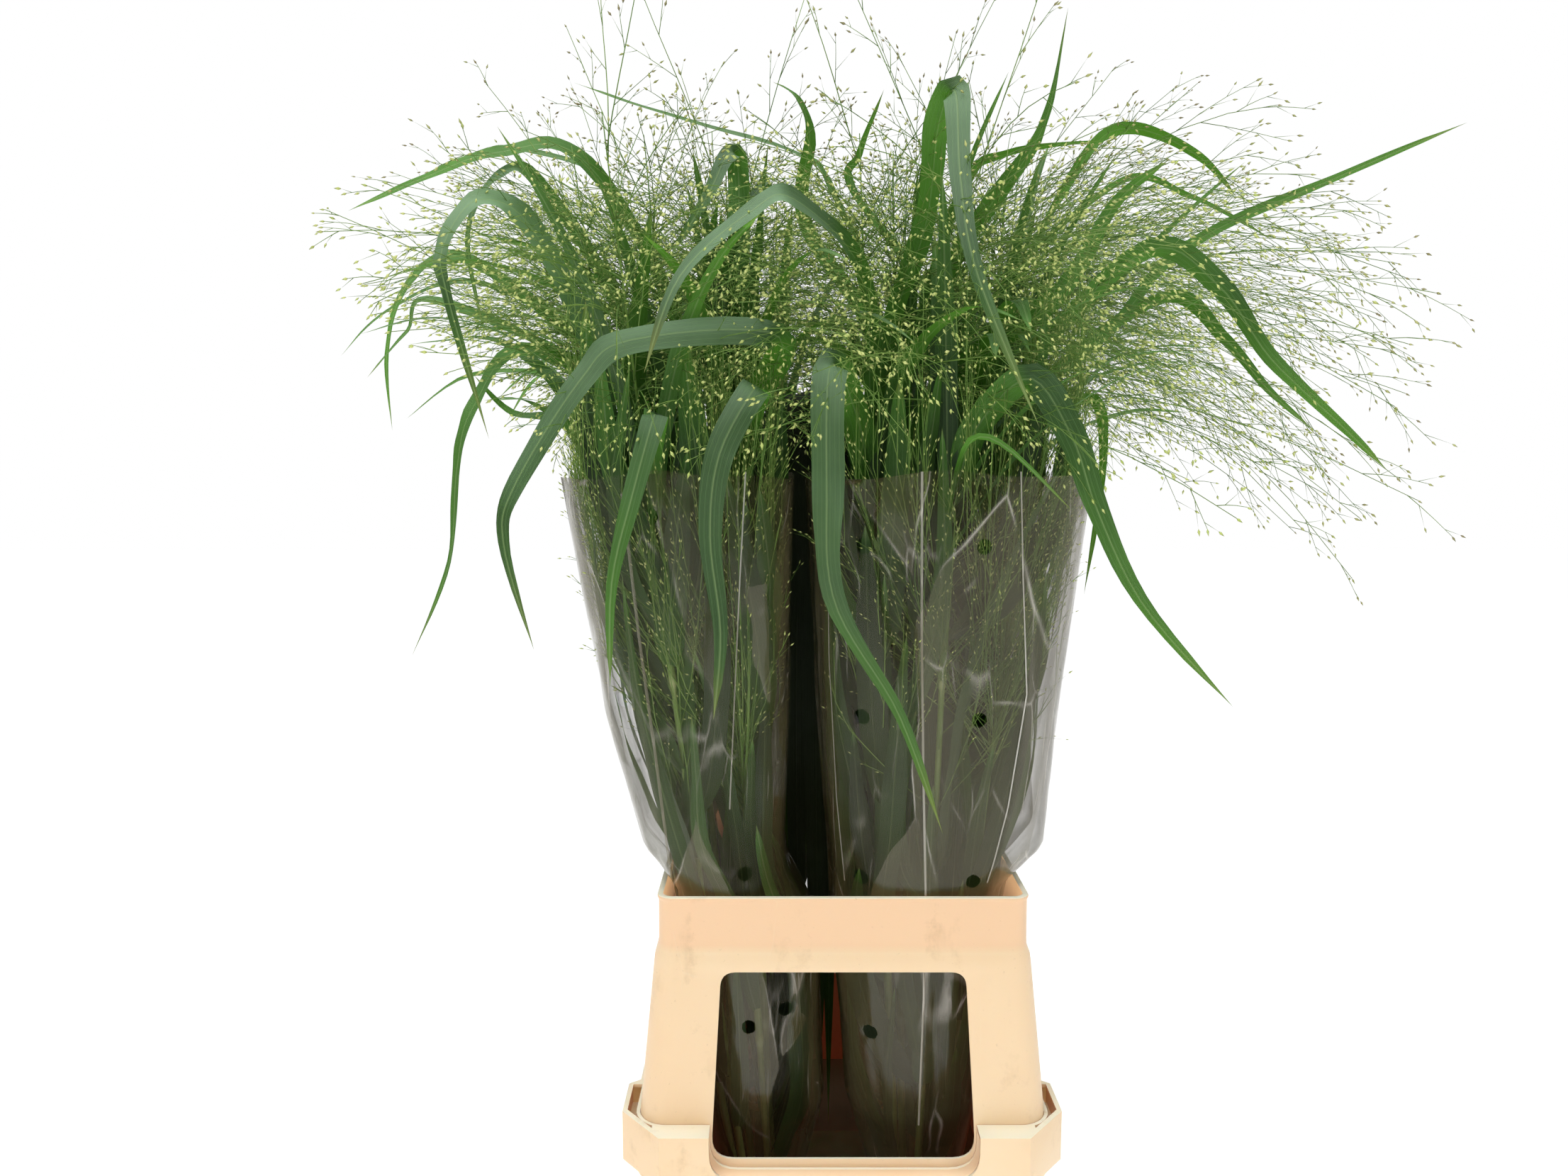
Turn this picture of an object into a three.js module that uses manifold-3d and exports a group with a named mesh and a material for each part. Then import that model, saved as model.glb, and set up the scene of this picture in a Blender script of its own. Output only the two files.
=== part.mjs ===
// Cut switchgrass in film sleeves, standing in a two-piece trade bucket.
// Millimetres, +Z up. The origin is the middle of the bucket's underside, and the front faces -Y.
import * as THREE from 'three';
import { mergeVertices } from 'three/addons/utils/BufferGeometryUtils.js';
import Module from 'manifold-3d';

const wasm = await Module();
wasm.setup();

// Driving dimensions
const GAP = 0.3;               // running gap between pieces that touch
const WALL = 2.6;              // wall of the bucket
const FLOOR = 3;               // its floor
const RIM_HALF = [155, 200];   // half of the rim's outer size, X and Y
const RIM_TOP = 220;
const RIM_CHAMFER = [29, 34];  // the rim's cut corners
const RIM_WAIST = 147;         // half width of the rim between its corner blocks
const BLOCK_END = [129, 123];  // where a corner block ends along Y
const POCKET = { floor: 206, wall: 3.4, x: [132, 160], y: [130, 195] }; // hollow in a corner block
const APRON_FOOT = 184;        // lower edge of the skirt that hangs from the rim
const MOUTH_HALF = [142.5, 183.5];
const MOUTH_RADIUS = 20;
const SEAT_Z = 180;            // shelf that carries the collar
const SHELF = 4;
const BASE_HALF = [124, 174];
const BASE_RADIUS = 16;
const NOTCH_HALF = 92;         // notch in the rim that frees the window
const NOTCH_Z = 189;
const NOTCH_RADIUS = 19;
const COLLAR_WALL = 2.2;
const WINDOW = { top: 325, foot: 195, halfTop: 84.5, halfFoot: 91.5, radiusTop: 10, radiusFoot: 16 };
const WATER_TOP = 78;
const BAND = { foot: 84, top: 92, thick: 1.5 };
const FILM = 0.8;
const FILM_SIDES = 16;
const FILM_POWER = 3;          // squareness of a sleeve's section
const CLUSTER = 14;            // radius of the ring on which a bunch's stems stand
const SPREAD = 0.56;           // their ring at the sleeve's edge, as a share of the sleeve's half sizes
const UPRIGHT = 100;           // stems rise upright to this height
const CULM = [3.1, 1.7];       // culm radius at the foot and at the top
const CULM_SIDES = 5;
const SHEATH = { step: 4, thick: 0.9, length: 100, end: 0.1 };
const KNOTS = [240, 520];      // heights of the knots from which the sheaths rise
const BLADE = 0.8;             // leaf thickness
const LEAVE = [7, 9];          // a leaf stands this far out and up where it has left its stem
const CELL = 9;                // grid cell of the clearance test
const LEAF_STEP = 5;           // spacing of the samples on a leaf
const LEAF_REACH = 3.6;        // how far a leaf sample speaks for
const CULM_REACH = 4.2;
const ROOT_SHARE = 0.3;        // share of a leaf that may touch its neighbours on the same stem
const TWIG_REACH = 3;

// Half sizes and corner radius of the collar's outer face, from foot to rim
const COLLAR_OUTSIDE = [
  [SEAT_Z + GAP, 142.2, 183.2, 19.7],
  [222, 142.2, 183.2, 19.7],
  [333, 131.6, 172.4, 15],
  [341, 128.6, 169.6, 11],
  [374, 128.2, 169.2, 10],
  [375, 129.2, 170.2, 11],
  [377, 129.2, 170.2, 11],
];

// Each sleeve is [height, left, right, front, back] at seven heights. A bunch's stems stand in its foot.
const BUNCHES = {
  front_left: {
    sleeve: [
      [100, -88, -34, -116, -56], [200, -106, -10, -150, -8], [325, -118, -14, -156, -8],
      [377, -125.6, -38, -165, -8], [402, -146, -40, -168, -8], [500, -171, -36, -178, -8],
      [669, -198, -33, -190, -6],
    ],
    tops: [720, 735, 700, 690, 425],
    turn: 0.5,
  },
  front_right: {
    sleeve: [
      [100, 34, 88, -116, -56], [200, 5, 106, -150, -8], [325, -6, 118, -156, -8],
      [377, -8, 125.6, -165, -8], [402, -10, 150, -168, -8], [500, -18, 158, -178, -8],
      [669, -27, 177, -190, -6],
    ],
    tops: [735, 720, 700, 705, 450],
    turn: 0.9,
  },
  back_left: {
    sleeve: [
      [100, -88, -34, 56, 116], [200, -106, -8, 8, 150], [325, -118, -8, 8, 156],
      [377, -125.6, -6, 8, 165], [402, -144, -6, 8, 170], [500, -165, -6, 8, 182],
      [669, -190, -6, 6, 196],
    ],
    tops: [740, 750, 715, 730],
    turn: 0.2,
  },
  back_right: {
    sleeve: [
      [100, 34, 88, 56, 116], [200, 8, 106, 8, 150], [325, 8, 118, 8, 156],
      [377, 6, 125.6, 8, 165], [402, 6, 146, 8, 170], [500, 6, 166, 8, 182],
      [669, 6, 190, 6, 196],
    ],
    tops: [750, 740, 730, 715],
    turn: 0.7,
  },
};

// The large leaves: stem, height of the root, width, roll at root and tip in degrees, and the route that
// the middle of the blade takes after it leaves the stem.
const LARGE_LEAVES = [
  ['front_right_1', 640, 14, 60, 35, [[200, -60, 770], [260, -55, 835], [380, -40, 890], [475, -30, 930]]],
  ['front_right_2', 665, 18, 20, 60, [[95, -70, 840], [135, -70, 895], [150, -75, 930], [160, -80, 995]]],
  ['front_right_3', 650, 20, 60, 0,
    [[55, -110, 835], [58, -122, 890], [66, -140, 905], [65, -175, 845], [72, -200, 785], [105, -225, 695]]],
  ['front_right_3', 660, 18, 70, 20,
    [[10, -130, 800], [-35, -180, 830], [-60, -195, 820], [-100, -215, 780], [-120, -225, 725]]],
  ['front_left_3', 640, 18, 60, 20,
    [[-210, -130, 830], [-240, -150, 845], [-259, -168, 812], [-255, -175, 780], [-230, -180, 690]]],
  ['back_left_3', 650, 14, 40, 40, [[-240, 30, 900], [-270, 15, 900], [-286, -15, 850], [-270, -30, 765]]],
  ['back_left_2', 650, 16, 50, 30, [[-205, 60, 920], [-270, 60, 920], [-330, 60, 900], [-390, 60, 875]]],
  ['back_left_1', 670, 12, 50, 40, [[-185, 90, 890], [-210, 100, 935], [-280, 100, 955], [-310, 100, 955]]],
  ['back_right_2', 670, 15, 70, 55, [[0, 120, 915], [-30, 120, 945], [-150, 120, 980], [-225, 120, 1005]]],
  ['back_right_3', 660, 16, 20, 60, [[-25, 60, 875], [-20, 50, 940], [-30, 30, 965], [-50, 20, 975]]],
  ['back_right_1', 670, 14, 50, 50, [[18, 60, 900], [22, 60, 930], [40, 40, 975]]],
  ['front_left_1', 650, 16, 0, 0, [[-75, -60, 890], [-82, -90, 895], [-95, -120, 860], [-120, -140, 815]]],
  ['front_left_2', 655, 12, 30, 30, [[-55, -40, 885], [-70, -60, 865], [-85, -65, 845]]],
  ['front_left_1', 645, 19, 20, 20,
    [[-45, -190, 755], [-135, -215, 750], [-165, -225, 725], [-205, -235, 660], [-212, -235, 625],
      [-195, -235, 560]]],
  ['back_left_4', 625, 15, 30, 50,
    [[-235, -40, 760], [-270, -75, 715], [-282, -80, 670], [-290, -80, 600], [-320, -80, 530]]],
  ['front_left_4', 650, 16, 0, 20,
    [[-122, -205, 705], [-135, -220, 655], [-148, -225, 600], [-150, -225, 535]]],
  ['front_left_1', 665, 19, 0, 0,
    [[-58, -215, 722], [-80, -235, 680], [-86, -235, 630], [-80, -235, 570], [-85, -230, 515]]],
  ['front_right_3', 655, 22, 0, 50,
    [[-12, -215, 735], [-15, -235, 660], [-10, -240, 590], [30, -235, 520], [60, -225, 440]]],
  ['front_right_4', 655, 20, 0, 45,
    [[115, -195, 728], [140, -208, 690], [155, -215, 645], [185, -220, 585], [245, -215, 520]]],
  ['front_right_1', 650, 16, 30, 50,
    [[210, -120, 820], [255, -132, 795], [290, -140, 745], [340, -140, 700], [370, -145, 670]]],
  ['back_right_4', 645, 12, 40, 40, [[250, -30, 800], [292, -42, 770], [325, -50, 730], [360, -50, 700]]],
  ['back_right_1', 660, 14, 60, 45, [[205, 40, 922], [240, 28, 941], [290, 20, 918], [320, 15, 885]]],
  ['front_right_2', 655, 18, 10, 40, [[150, -105, 790], [185, -115, 850], [215, -130, 875]]],
  ['back_right_4', 655, 10, 30, 50, [[235, 35, 825], [285, 28, 875], [330, 20, 915]]],
  ['back_right_3', 640, 10, 60, 60, [[235, 60, 905], [300, 55, 897], [370, 50, 860]]],
  ['back_right_2', 650, 15, 40, 70, [[105, 30, 895], [140, 30, 920], [220, 30, 930]]],
  ['back_left_3', 630, 12, 40, 40, [[-300, 40, 840], [-345, 25, 820], [-360, 10, 765], [-355, 0, 700]]],
  ['back_left_4', 620, 10, 40, 50, [[-310, -10, 800], [-335, -20, 775], [-365, -25, 740]]],
  ['back_left_2', 640, 9, 50, 50, [[-295, 70, 825], [-375, 70, 805], [-420, 70, 765]]],
  ['front_left_2', 620, 14, 60, 60, [[-205, -120, 705], [-245, -125, 712], [-275, -110, 740]]],
  ['back_right_4', 620, 12, 30, 40, [[200, -10, 725], [210, -20, 675], [198, -20, 570]]],
  ['front_right_4', 640, 8, 60, 40, [[80, -198, 690], [100, -205, 684], [140, -210, 645]]],
];

// Leaves by rule: inner ones rise inside the sleeve, outer ones arch over its edge. Start and end are the
// slopes of the blade's two ends in degrees.
const INNER = {
  perStem: { front: 2, back: 1 }, low: 170, high: 400, length: [230, 330], width: [13, 19],
  start: 86, end: [86, 58], steps: 4,
};
const OUTER = {
  perStem: { front: 0, back: 2 }, low: 610, high: 690, length: [270, 360], width: [13, 20],
  start: 80, end: [-75, 35], steps: 7,
};
const LEAF_ROLL = 50;
const LEAF_TRIES = 60;
const LARGE = { tries: 150, roots: 5, lower: 12, bend: 6, riseOut: 0.35, riseUp: 0.6 };
const ARCH = { pieces: 5, ease: 1.3 }; // a leaf by rule is this many chords, whose slope changes ever faster

// Panicles
const PANICLE = {
  branches: 7, tries: 30, axis: 170, axisStep: 14, thick: [1.2, 0.8, 0.5], reach: [130, 230],
  openFoot: 70, openTop: 28, openInside: [8, 16], openJitter: 24, sag: [0.1, 0.3], roots: [0.06, 0.97],
  turn: 2.4, shorterTop: 0.62, shorterInside: 0.7, samples: 45,
};
const TWIG = [0.5, 0.42, 0.36]; // radius of a branch at its root, middle and end
const SPIKELET = { radius: 1.5, length: 4.4 };

const COLOURS = {
  bucket: 0xf7ddb4, collar: 0xf8d9b0, water: 0x8fa79a, film: 0xb9b6ae, band: 0x9a7a4a,
  stem: 0x4f8a3c, panicle: 0xa9bf5e,
};

// Seeded random source, so that every build grows the same plant
function randomSource(seed) {
  let state = seed >>> 0;
  return () => {
    state = (state + 0x6d2b79f5) >>> 0;
    let value = Math.imul(state ^ (state >>> 15), state | 1);
    value = (value ^ (value + Math.imul(value ^ (value >>> 7), value | 61))) >>> 0;
    return ((value ^ (value >>> 14)) >>> 0) / 4294967296;
  };
}

const mix = (low, high, share) => low + (high - low) * share;
const between = (random, range) => mix(range[0], range[1], random());

// A point of the curve through the given points, with share running from 0 to 1
function along(points, share) {
  const last = points.length - 1;
  const place = Math.min(share * last, last - 1e-9);
  const i = Math.floor(place);
  const f = place - i;
  const at = (k) => points[Math.min(Math.max(k, 0), last)];
  const [p, q, r, s] = [at(i - 1), at(i), at(i + 1), at(i + 2)];
  return q.map((_, k) => 0.5 * (2 * q[k] + (r[k] - p[k]) * f
    + (2 * p[k] - 5 * q[k] + 4 * r[k] - s[k]) * f * f
    + (3 * q[k] - p[k] - 3 * r[k] + s[k]) * f * f * f));
}

// Closed solid through rings of points. A loop joins the last ring to the first, and other solids are
// capped. Each quad of a blade is split alike on both faces.
function ringSolid(rings, { loop = false, blade = false } = {}) {
  const n = rings[0].length;
  const positions = rings.flat(2);
  const index = [];
  const bands = loop ? rings.length : rings.length - 1;
  for (let i = 0; i < bands; i += 1) {
    const next = (i + 1) % rings.length;
    for (let j = 0; j < n; j += 1) {
      const k = (j + 1) % n;
      const [a, b, c, d] = [i * n + j, i * n + k, next * n + k, next * n + j];
      if (blade && j >= 2) {
        index.push(a, b, d, b, c, d);
      } else {
        index.push(a, b, c, a, c, d);
      }
    }
  }
  if (!loop) {
    const end = (rings.length - 1) * n;
    for (let j = 1; j < n - 1; j += 1) {
      index.push(0, j + 1, j);
      index.push(end, end + j, end + j + 1);
    }
  }
  const geometry = new THREE.BufferGeometry();
  geometry.setAttribute('position', new THREE.Float32BufferAttribute(positions, 3));
  geometry.setIndex(index);
  return facingOut(geometry);
}

// Turns a closed geometry whose faces point in
function facingOut(geometry) {
  const position = geometry.getAttribute('position');
  const index = geometry.getIndex().array;
  const corner = (i) => new THREE.Vector3().fromBufferAttribute(position, index[i]);
  let volume = 0;
  for (let i = 0; i < index.length; i += 3) {
    volume += corner(i).dot(corner(i + 1).cross(corner(i + 2)));
  }
  if (volume < 0) {
    for (let i = 0; i < index.length; i += 3) {
      [index[i], index[i + 1]] = [index[i + 1], index[i]];
    }
  }
  return geometry;
}

function toSolid(geometry) {
  const bare = geometry.clone();
  bare.deleteAttribute('normal');
  bare.deleteAttribute('uv');
  const merged = mergeVertices(bare, 1e-4);
  return new wasm.Manifold(new wasm.Mesh({
    numProp: 3,
    vertProperties: new Float32Array(merged.getAttribute('position').array),
    triVerts: new Uint32Array(merged.getIndex().array),
  }));
}

function toGeometry(solid) {
  const mesh = solid.getMesh();
  const geometry = new THREE.BufferGeometry();
  geometry.setAttribute('position', new THREE.Float32BufferAttribute(mesh.vertProperties, 3));
  geometry.setIndex(Array.from(mesh.triVerts));
  return geometry;
}

// Level ring in the form of a rectangle with round corners
function roundRing(z, halfX, halfY, radius, steps = 3) {
  const ring = [];
  [[1, 1], [-1, 1], [-1, -1], [1, -1]].forEach(([sx, sy], quarter) => {
    for (let i = 0; i <= steps; i += 1) {
      const angle = (quarter + i / steps) * Math.PI / 2;
      ring.push([
        sx * (halfX - radius) + radius * Math.cos(angle),
        sy * (halfY - radius) + radius * Math.sin(angle),
        z,
      ]);
    }
  });
  return ring;
}

// Upright prism over an outline of [x, y] points
function prism(outline, foot, top) {
  const shape = new THREE.Shape(outline.map(([x, y]) => new THREE.Vector2(x, y)));
  const geometry = new THREE.ExtrudeGeometry(shape, { depth: top - foot, bevelEnabled: false });
  geometry.translate(0, 0, foot);
  return toSolid(geometry);
}

// Outline of the bucket's rim: cut corners, and a waist between the corner blocks
function rimOutline(inset) {
  const [x, y] = [RIM_HALF[0] - inset, RIM_HALF[1] - inset];
  const lean = inset * 0.42;
  const quarter = [
    [RIM_WAIST - inset, BLOCK_END[1] - lean],
    [x, BLOCK_END[0] - lean],
    [x, y - RIM_CHAMFER[1] + lean],
    [x - RIM_CHAMFER[0] + lean, y],
  ];
  const mirror = (sx, sy) => quarter.map(([px, py]) => [sx * px, sy * py]);
  return [
    ...mirror(1, 1), ...mirror(-1, 1).reverse(), ...mirror(-1, -1), ...mirror(1, -1).reverse(),
  ];
}

// Window and notch outlines, upright in XZ, cut along Y through front and back
function throughCut({ top, foot, halfTop, halfFoot, radiusTop, radiusFoot }) {
  const shape = new THREE.Shape();
  const lean = (halfFoot - halfTop) / (top - foot);
  const half = (z) => halfFoot - lean * (z - foot);
  shape.moveTo(halfFoot - radiusFoot, foot);
  shape.quadraticCurveTo(halfFoot, foot, half(foot + radiusFoot), foot + radiusFoot);
  shape.lineTo(half(top - radiusTop), top - radiusTop);
  shape.quadraticCurveTo(halfTop, top, halfTop - radiusTop, top);
  shape.lineTo(-halfTop + radiusTop, top);
  shape.quadraticCurveTo(-halfTop, top, -half(top - radiusTop), top - radiusTop);
  shape.lineTo(-half(foot + radiusFoot), foot + radiusFoot);
  shape.quadraticCurveTo(-halfFoot, foot, -halfFoot + radiusFoot, foot);
  const depth = 2 * RIM_HALF[1] + 20;
  const geometry = new THREE.ExtrudeGeometry(shape, { depth, bevelEnabled: false, curveSegments: 4 });
  geometry.rotateX(Math.PI / 2);
  geometry.translate(0, depth / 2, 0);
  return toSolid(geometry);
}

function makeBucket() {
  const [mx, my] = MOUTH_HALF;
  const [bx, by] = BASE_HALF;
  const outer = toSolid(ringSolid([
    roundRing(0, bx, by, BASE_RADIUS),
    roundRing(SEAT_Z - 8, mx - SHELF + WALL, my - SHELF + WALL, MOUTH_RADIUS),
    roundRing(SEAT_Z - 2, mx + WALL, my + WALL, MOUTH_RADIUS + WALL),
    roundRing(RIM_TOP - 1, mx + WALL, my + WALL, MOUTH_RADIUS + WALL),
  ]));
  const inner = toSolid(ringSolid([
    roundRing(FLOOR, bx - WALL, by - WALL, BASE_RADIUS - WALL),
    roundRing(SEAT_Z, mx - SHELF, my - SHELF, MOUTH_RADIUS - SHELF),
    roundRing(SEAT_Z, mx, my, MOUTH_RADIUS),
    roundRing(RIM_TOP + 5, mx, my, MOUTH_RADIUS),
  ]));
  const rim = prism(rimOutline(0), APRON_FOOT, RIM_TOP)
    .subtract(prism(rimOutline(WALL), APRON_FOOT - 5, RIM_TOP - WALL));
  let bucket = rim.add(outer);
  const pocket = prism(rimOutline(POCKET.wall), POCKET.floor, RIM_TOP + 5);
  const pocketFloor = prism(rimOutline(1), POCKET.floor - WALL, POCKET.floor);
  for (const sx of [-1, 1]) {
    for (const sy of [-1, 1]) {
      const near = [sx * POCKET.x[0], sy * POCKET.y[0]];
      const far = [sx * POCKET.x[1], sy * POCKET.y[1]];
      const outline = [near, [far[0], near[1]], far, [near[0], far[1]]];
      const corner = prism(outline, APRON_FOOT, RIM_TOP + 6);
      bucket = bucket.subtract(pocket.intersect(corner).subtract(outer)).add(pocketFloor.intersect(corner));
    }
  }
  bucket = bucket.subtract(inner);
  const notch = throughCut({
    top: RIM_TOP + 20, foot: NOTCH_Z, halfTop: NOTCH_HALF, halfFoot: NOTCH_HALF, radiusTop: 2,
    radiusFoot: NOTCH_RADIUS,
  });
  return toGeometry(bucket.subtract(notch));
}

function makeCollar() {
  const outside = COLLAR_OUTSIDE.map(([z, x, y, r]) => roundRing(z, x, y, r));
  const inside = COLLAR_OUTSIDE.filter((_, i) => i !== 5).reverse().map(([z, x, y, r], i) => {
    const wall = i === 0 ? COLLAR_WALL + 1 : COLLAR_WALL;
    return roundRing(z, x - wall, y - wall, Math.max(r - wall, 4));
  });
  const frame = toSolid(ringSolid([...outside, ...inside], { loop: true }));
  return toGeometry(frame.subtract(throughCut(WINDOW)));
}

// The sleeve's middle and half sizes at a height
function sleeveAt(sleeve, z) {
  let i = 0;
  while (i < sleeve.length - 2 && z > sleeve[i + 1][0]) {
    i += 1;
  }
  const share = Math.min(Math.max((z - sleeve[i][0]) / (sleeve[i + 1][0] - sleeve[i][0]), 0), 1);
  const [left, right, front, back] = [1, 2, 3, 4].map((k) => mix(sleeve[i][k], sleeve[i + 1][k], share));
  return { x: (left + right) / 2, y: (front + back) / 2, a: (right - left) / 2, b: (back - front) / 2 };
}

function makeSleeve({ sleeve }) {
  const ring = (z, inset) => {
    const { x, y, a, b } = sleeveAt(sleeve, z);
    return Array.from({ length: FILM_SIDES }, (_, i) => {
      const angle = (i + 0.5) / FILM_SIDES * 2 * Math.PI;
      const [c, s] = [Math.cos(angle), Math.sin(angle)];
      const size = (Math.abs(c) ** FILM_POWER + Math.abs(s) ** FILM_POWER) ** (-1 / FILM_POWER);
      return [x + (a - inset) * c * size, y + (b - inset) * s * size, z];
    });
  };
  const heights = sleeve.map(([z]) => z);
  return ringSolid([
    ...heights.map((z) => ring(z, 0)),
    ...heights.reverse().map((z) => ring(z, FILM)),
  ], { loop: true });
}

// A stem's middle line: upright in the water and the band, then spreading with the sleeve
function culmPoint(bunch, number, z) {
  const count = bunch.tops.length;
  const angle = bunch.turn + number / count * 2 * Math.PI;
  const foot = sleeveAt(bunch.sleeve, bunch.sleeve[0][0]);
  const head = sleeveAt(bunch.sleeve, bunch.sleeve.at(-1)[0]);
  const rise = Math.max(z - UPRIGHT, 0) / (bunch.sleeve.at(-1)[0] - UPRIGHT);
  const share = rise * (1.15 - 0.15 * rise);
  return [
    mix(foot.x + CLUSTER * Math.cos(angle), head.x + SPREAD * head.a * Math.cos(angle), share),
    mix(foot.y + CLUSTER * Math.sin(angle), head.y + SPREAD * head.b * Math.sin(angle), share),
    z,
  ];
}

// Radius of a stem with its sheaths: each sheath starts at a knot and is wider than the bare culm above it
function culmRings(bunch, number) {
  const top = bunch.tops[number];
  const rings = [[FLOOR + GAP, CULM[0]], [UPRIGHT, CULM[0]]];
  for (const knot of KNOTS.filter((z) => z < top - SHEATH.length)) {
    const culm = mix(CULM[0], CULM[1], knot / top);
    rings.push([knot, culm]);
    rings.push([knot + SHEATH.step, culm + SHEATH.thick]);
    rings.push([knot + SHEATH.length, culm + SHEATH.end]);
  }
  rings.push([top, CULM[1]]);
  return rings;
}

const cross = (a, b) => [a[1] * b[2] - a[2] * b[1], a[2] * b[0] - a[0] * b[2], a[0] * b[1] - a[1] * b[0]];
const unit = (a) => {
  const size = Math.hypot(...a);
  return a.map((v) => v / size);
};
const add = (a, b, scale = 1) => a.map((v, k) => v + scale * b[k]);

// A tube through points, with a radius for each, of few sides
function tube(points, radii, sides, turn = 0) {
  const whole = unit(add(points.at(-1), points[0], -1));
  const lean = Math.abs(whole[2]) > 0.8 ? [1, 0, 0] : [0, 0, 1];
  return ringSolid(points.map((point, i) => {
    const ahead = points[Math.min(i + 1, points.length - 1)];
    const behind = points[Math.max(i - 1, 0)];
    const tangent = unit(add(ahead, behind, -1));
    const side = unit(cross(tangent, lean));
    const other = cross(tangent, side);
    return Array.from({ length: sides }, (_, j) => {
      const angle = turn + j / sides * 2 * Math.PI;
      return add(add(point, side, radii[i] * Math.cos(angle)), other, radii[i] * Math.sin(angle));
    });
  }));
}

// Width of a leaf along its length, as a share of the widest place
const leafWidth = (t) => Math.min(0.15 + 4 * t, 1) * Math.min(1, (1.02 - t) ** 0.75 * 1.75);

// Places, sides and half widths at equal steps along a leaf
function leafFrames(leaf, steps) {
  return Array.from({ length: steps + 1 }, (_, i) => {
    const t = i / steps;
    const middle = along(leaf.route, t);
    const ahead = along(leaf.route, Math.min(t + 0.01, 1));
    const behind = along(leaf.route, Math.max(t - 0.01, 0));
    const tangent = unit(add(ahead, behind, -1));
    const flat = leaf.side ?? cross(tangent, [0, -1, 0]);
    const level = unit(add(flat, tangent, -flat.reduce((sum, v, k) => sum + v * tangent[k], 0)));
    const roll = mix(leaf.roll[0], leaf.roll[1], t) * Math.PI / 180;
    const side = add(level.map((v) => v * Math.cos(roll)), cross(tangent, level), Math.sin(roll));
    return { middle, tangent, side, half: leaf.width / 2 * leafWidth(t) };
  });
}

function leafSolid(leaf, steps) {
  return toSolid(ringSolid(leafFrames(leaf, steps).map(({ middle, tangent, side, half }) => {
    const face = cross(side, tangent).map((v) => v * BLADE / 2);
    const edge = side.map((v) => v * Math.max(half, 0.5));
    return [
      add(add(middle, edge, -1), face), add(add(middle, edge), face),
      add(add(middle, edge), face, -1), add(add(middle, edge, -1), face, -1),
    ];
  }), { blade: true }));
}

// Everything that grows is sampled into one grid, and what is tested against it keeps its distance from
// the samples of other stems
const grid = new Map();
const cellOf = (p) => p.map((v) => Math.floor(v / CELL));
function occupy(owner, samples, reach) {
  for (const p of samples) {
    const key = cellOf(p).join();
    if (!grid.has(key)) {
      grid.set(key, []);
    }
    grid.get(key).push([...p, owner, reach]);
  }
}

// A leaf may touch its own stem, and its root the roots of that stem's other leaves
const stemOf = (owner) => owner.split('.')[0];
const kin = (owner, other) => owner === other || owner === stemOf(other) || other === stemOf(owner);

function meets(owner, samples, reach) {
  return samples.some((p) => {
    const [i, j, k] = cellOf(p);
    for (let x = i - 1; x <= i + 1; x += 1) {
      for (let y = j - 1; y <= j + 1; y += 1) {
        for (let z = k - 1; z <= k + 1; z += 1) {
          for (const [px, py, pz, other, room] of grid.get([x, y, z].join()) ?? []) {
            const [dx, dy, dz] = [px - p[0], py - p[1], pz - p[2]];
            if (!kin(owner, other) && dx * dx + dy * dy + dz * dz < (reach + room) ** 2) {
              return true;
            }
          }
        }
      }
    }
    return false;
  });
}

// Whether a sample lies too near to the film of any sleeve
function meetsFilm(samples, room) {
  return samples.some((p) => Object.values(BUNCHES).some(({ sleeve }) => {
    if (p[2] > sleeve.at(-1)[0] + room || p[2] < sleeve[0][0] - room) {
      return false;
    }
    const { x, y, a, b } = sleeveAt(sleeve, p[2]);
    const [u, v] = [(p[0] - x) / a, (p[1] - y) / b];
    const rho = (Math.abs(u) ** FILM_POWER + Math.abs(v) ** FILM_POWER) ** (1 / FILM_POWER);
    return Math.abs(rho - 1) * Math.hypot(p[0] - x, p[1] - y) < room * Math.max(rho, 0.2);
  }));
}

function leafSamples(leaf) {
  let length = 0;
  for (let i = 1; i < leaf.route.length; i += 1) {
    length += Math.hypot(...add(leaf.route[i], leaf.route[i - 1], -1));
  }
  const steps = Math.ceil(length * 1.05 / LEAF_STEP);
  const across = Math.ceil(leaf.width / LEAF_STEP);
  return leafFrames(leaf, steps).flatMap(({ middle, side, half }) => (
    Array.from({ length: across + 1 }, (_, j) => add(middle, side, half * (2 * j / across - 1)))));
}

function takes(owner, leaf, number) {
  const samples = leafSamples(leaf);
  const root = Math.round(samples.length * ROOT_SHARE);
  const blade = samples.slice(root);
  const name = `${owner}.${number}`;
  if (meets(owner, samples, LEAF_REACH) || meets(name, blade, LEAF_REACH) || meetsFilm(samples, 4)) {
    return false;
  }
  occupy(owner, samples.slice(0, root), LEAF_REACH);
  occupy(name, blade, LEAF_REACH);
  return true;
}

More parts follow.
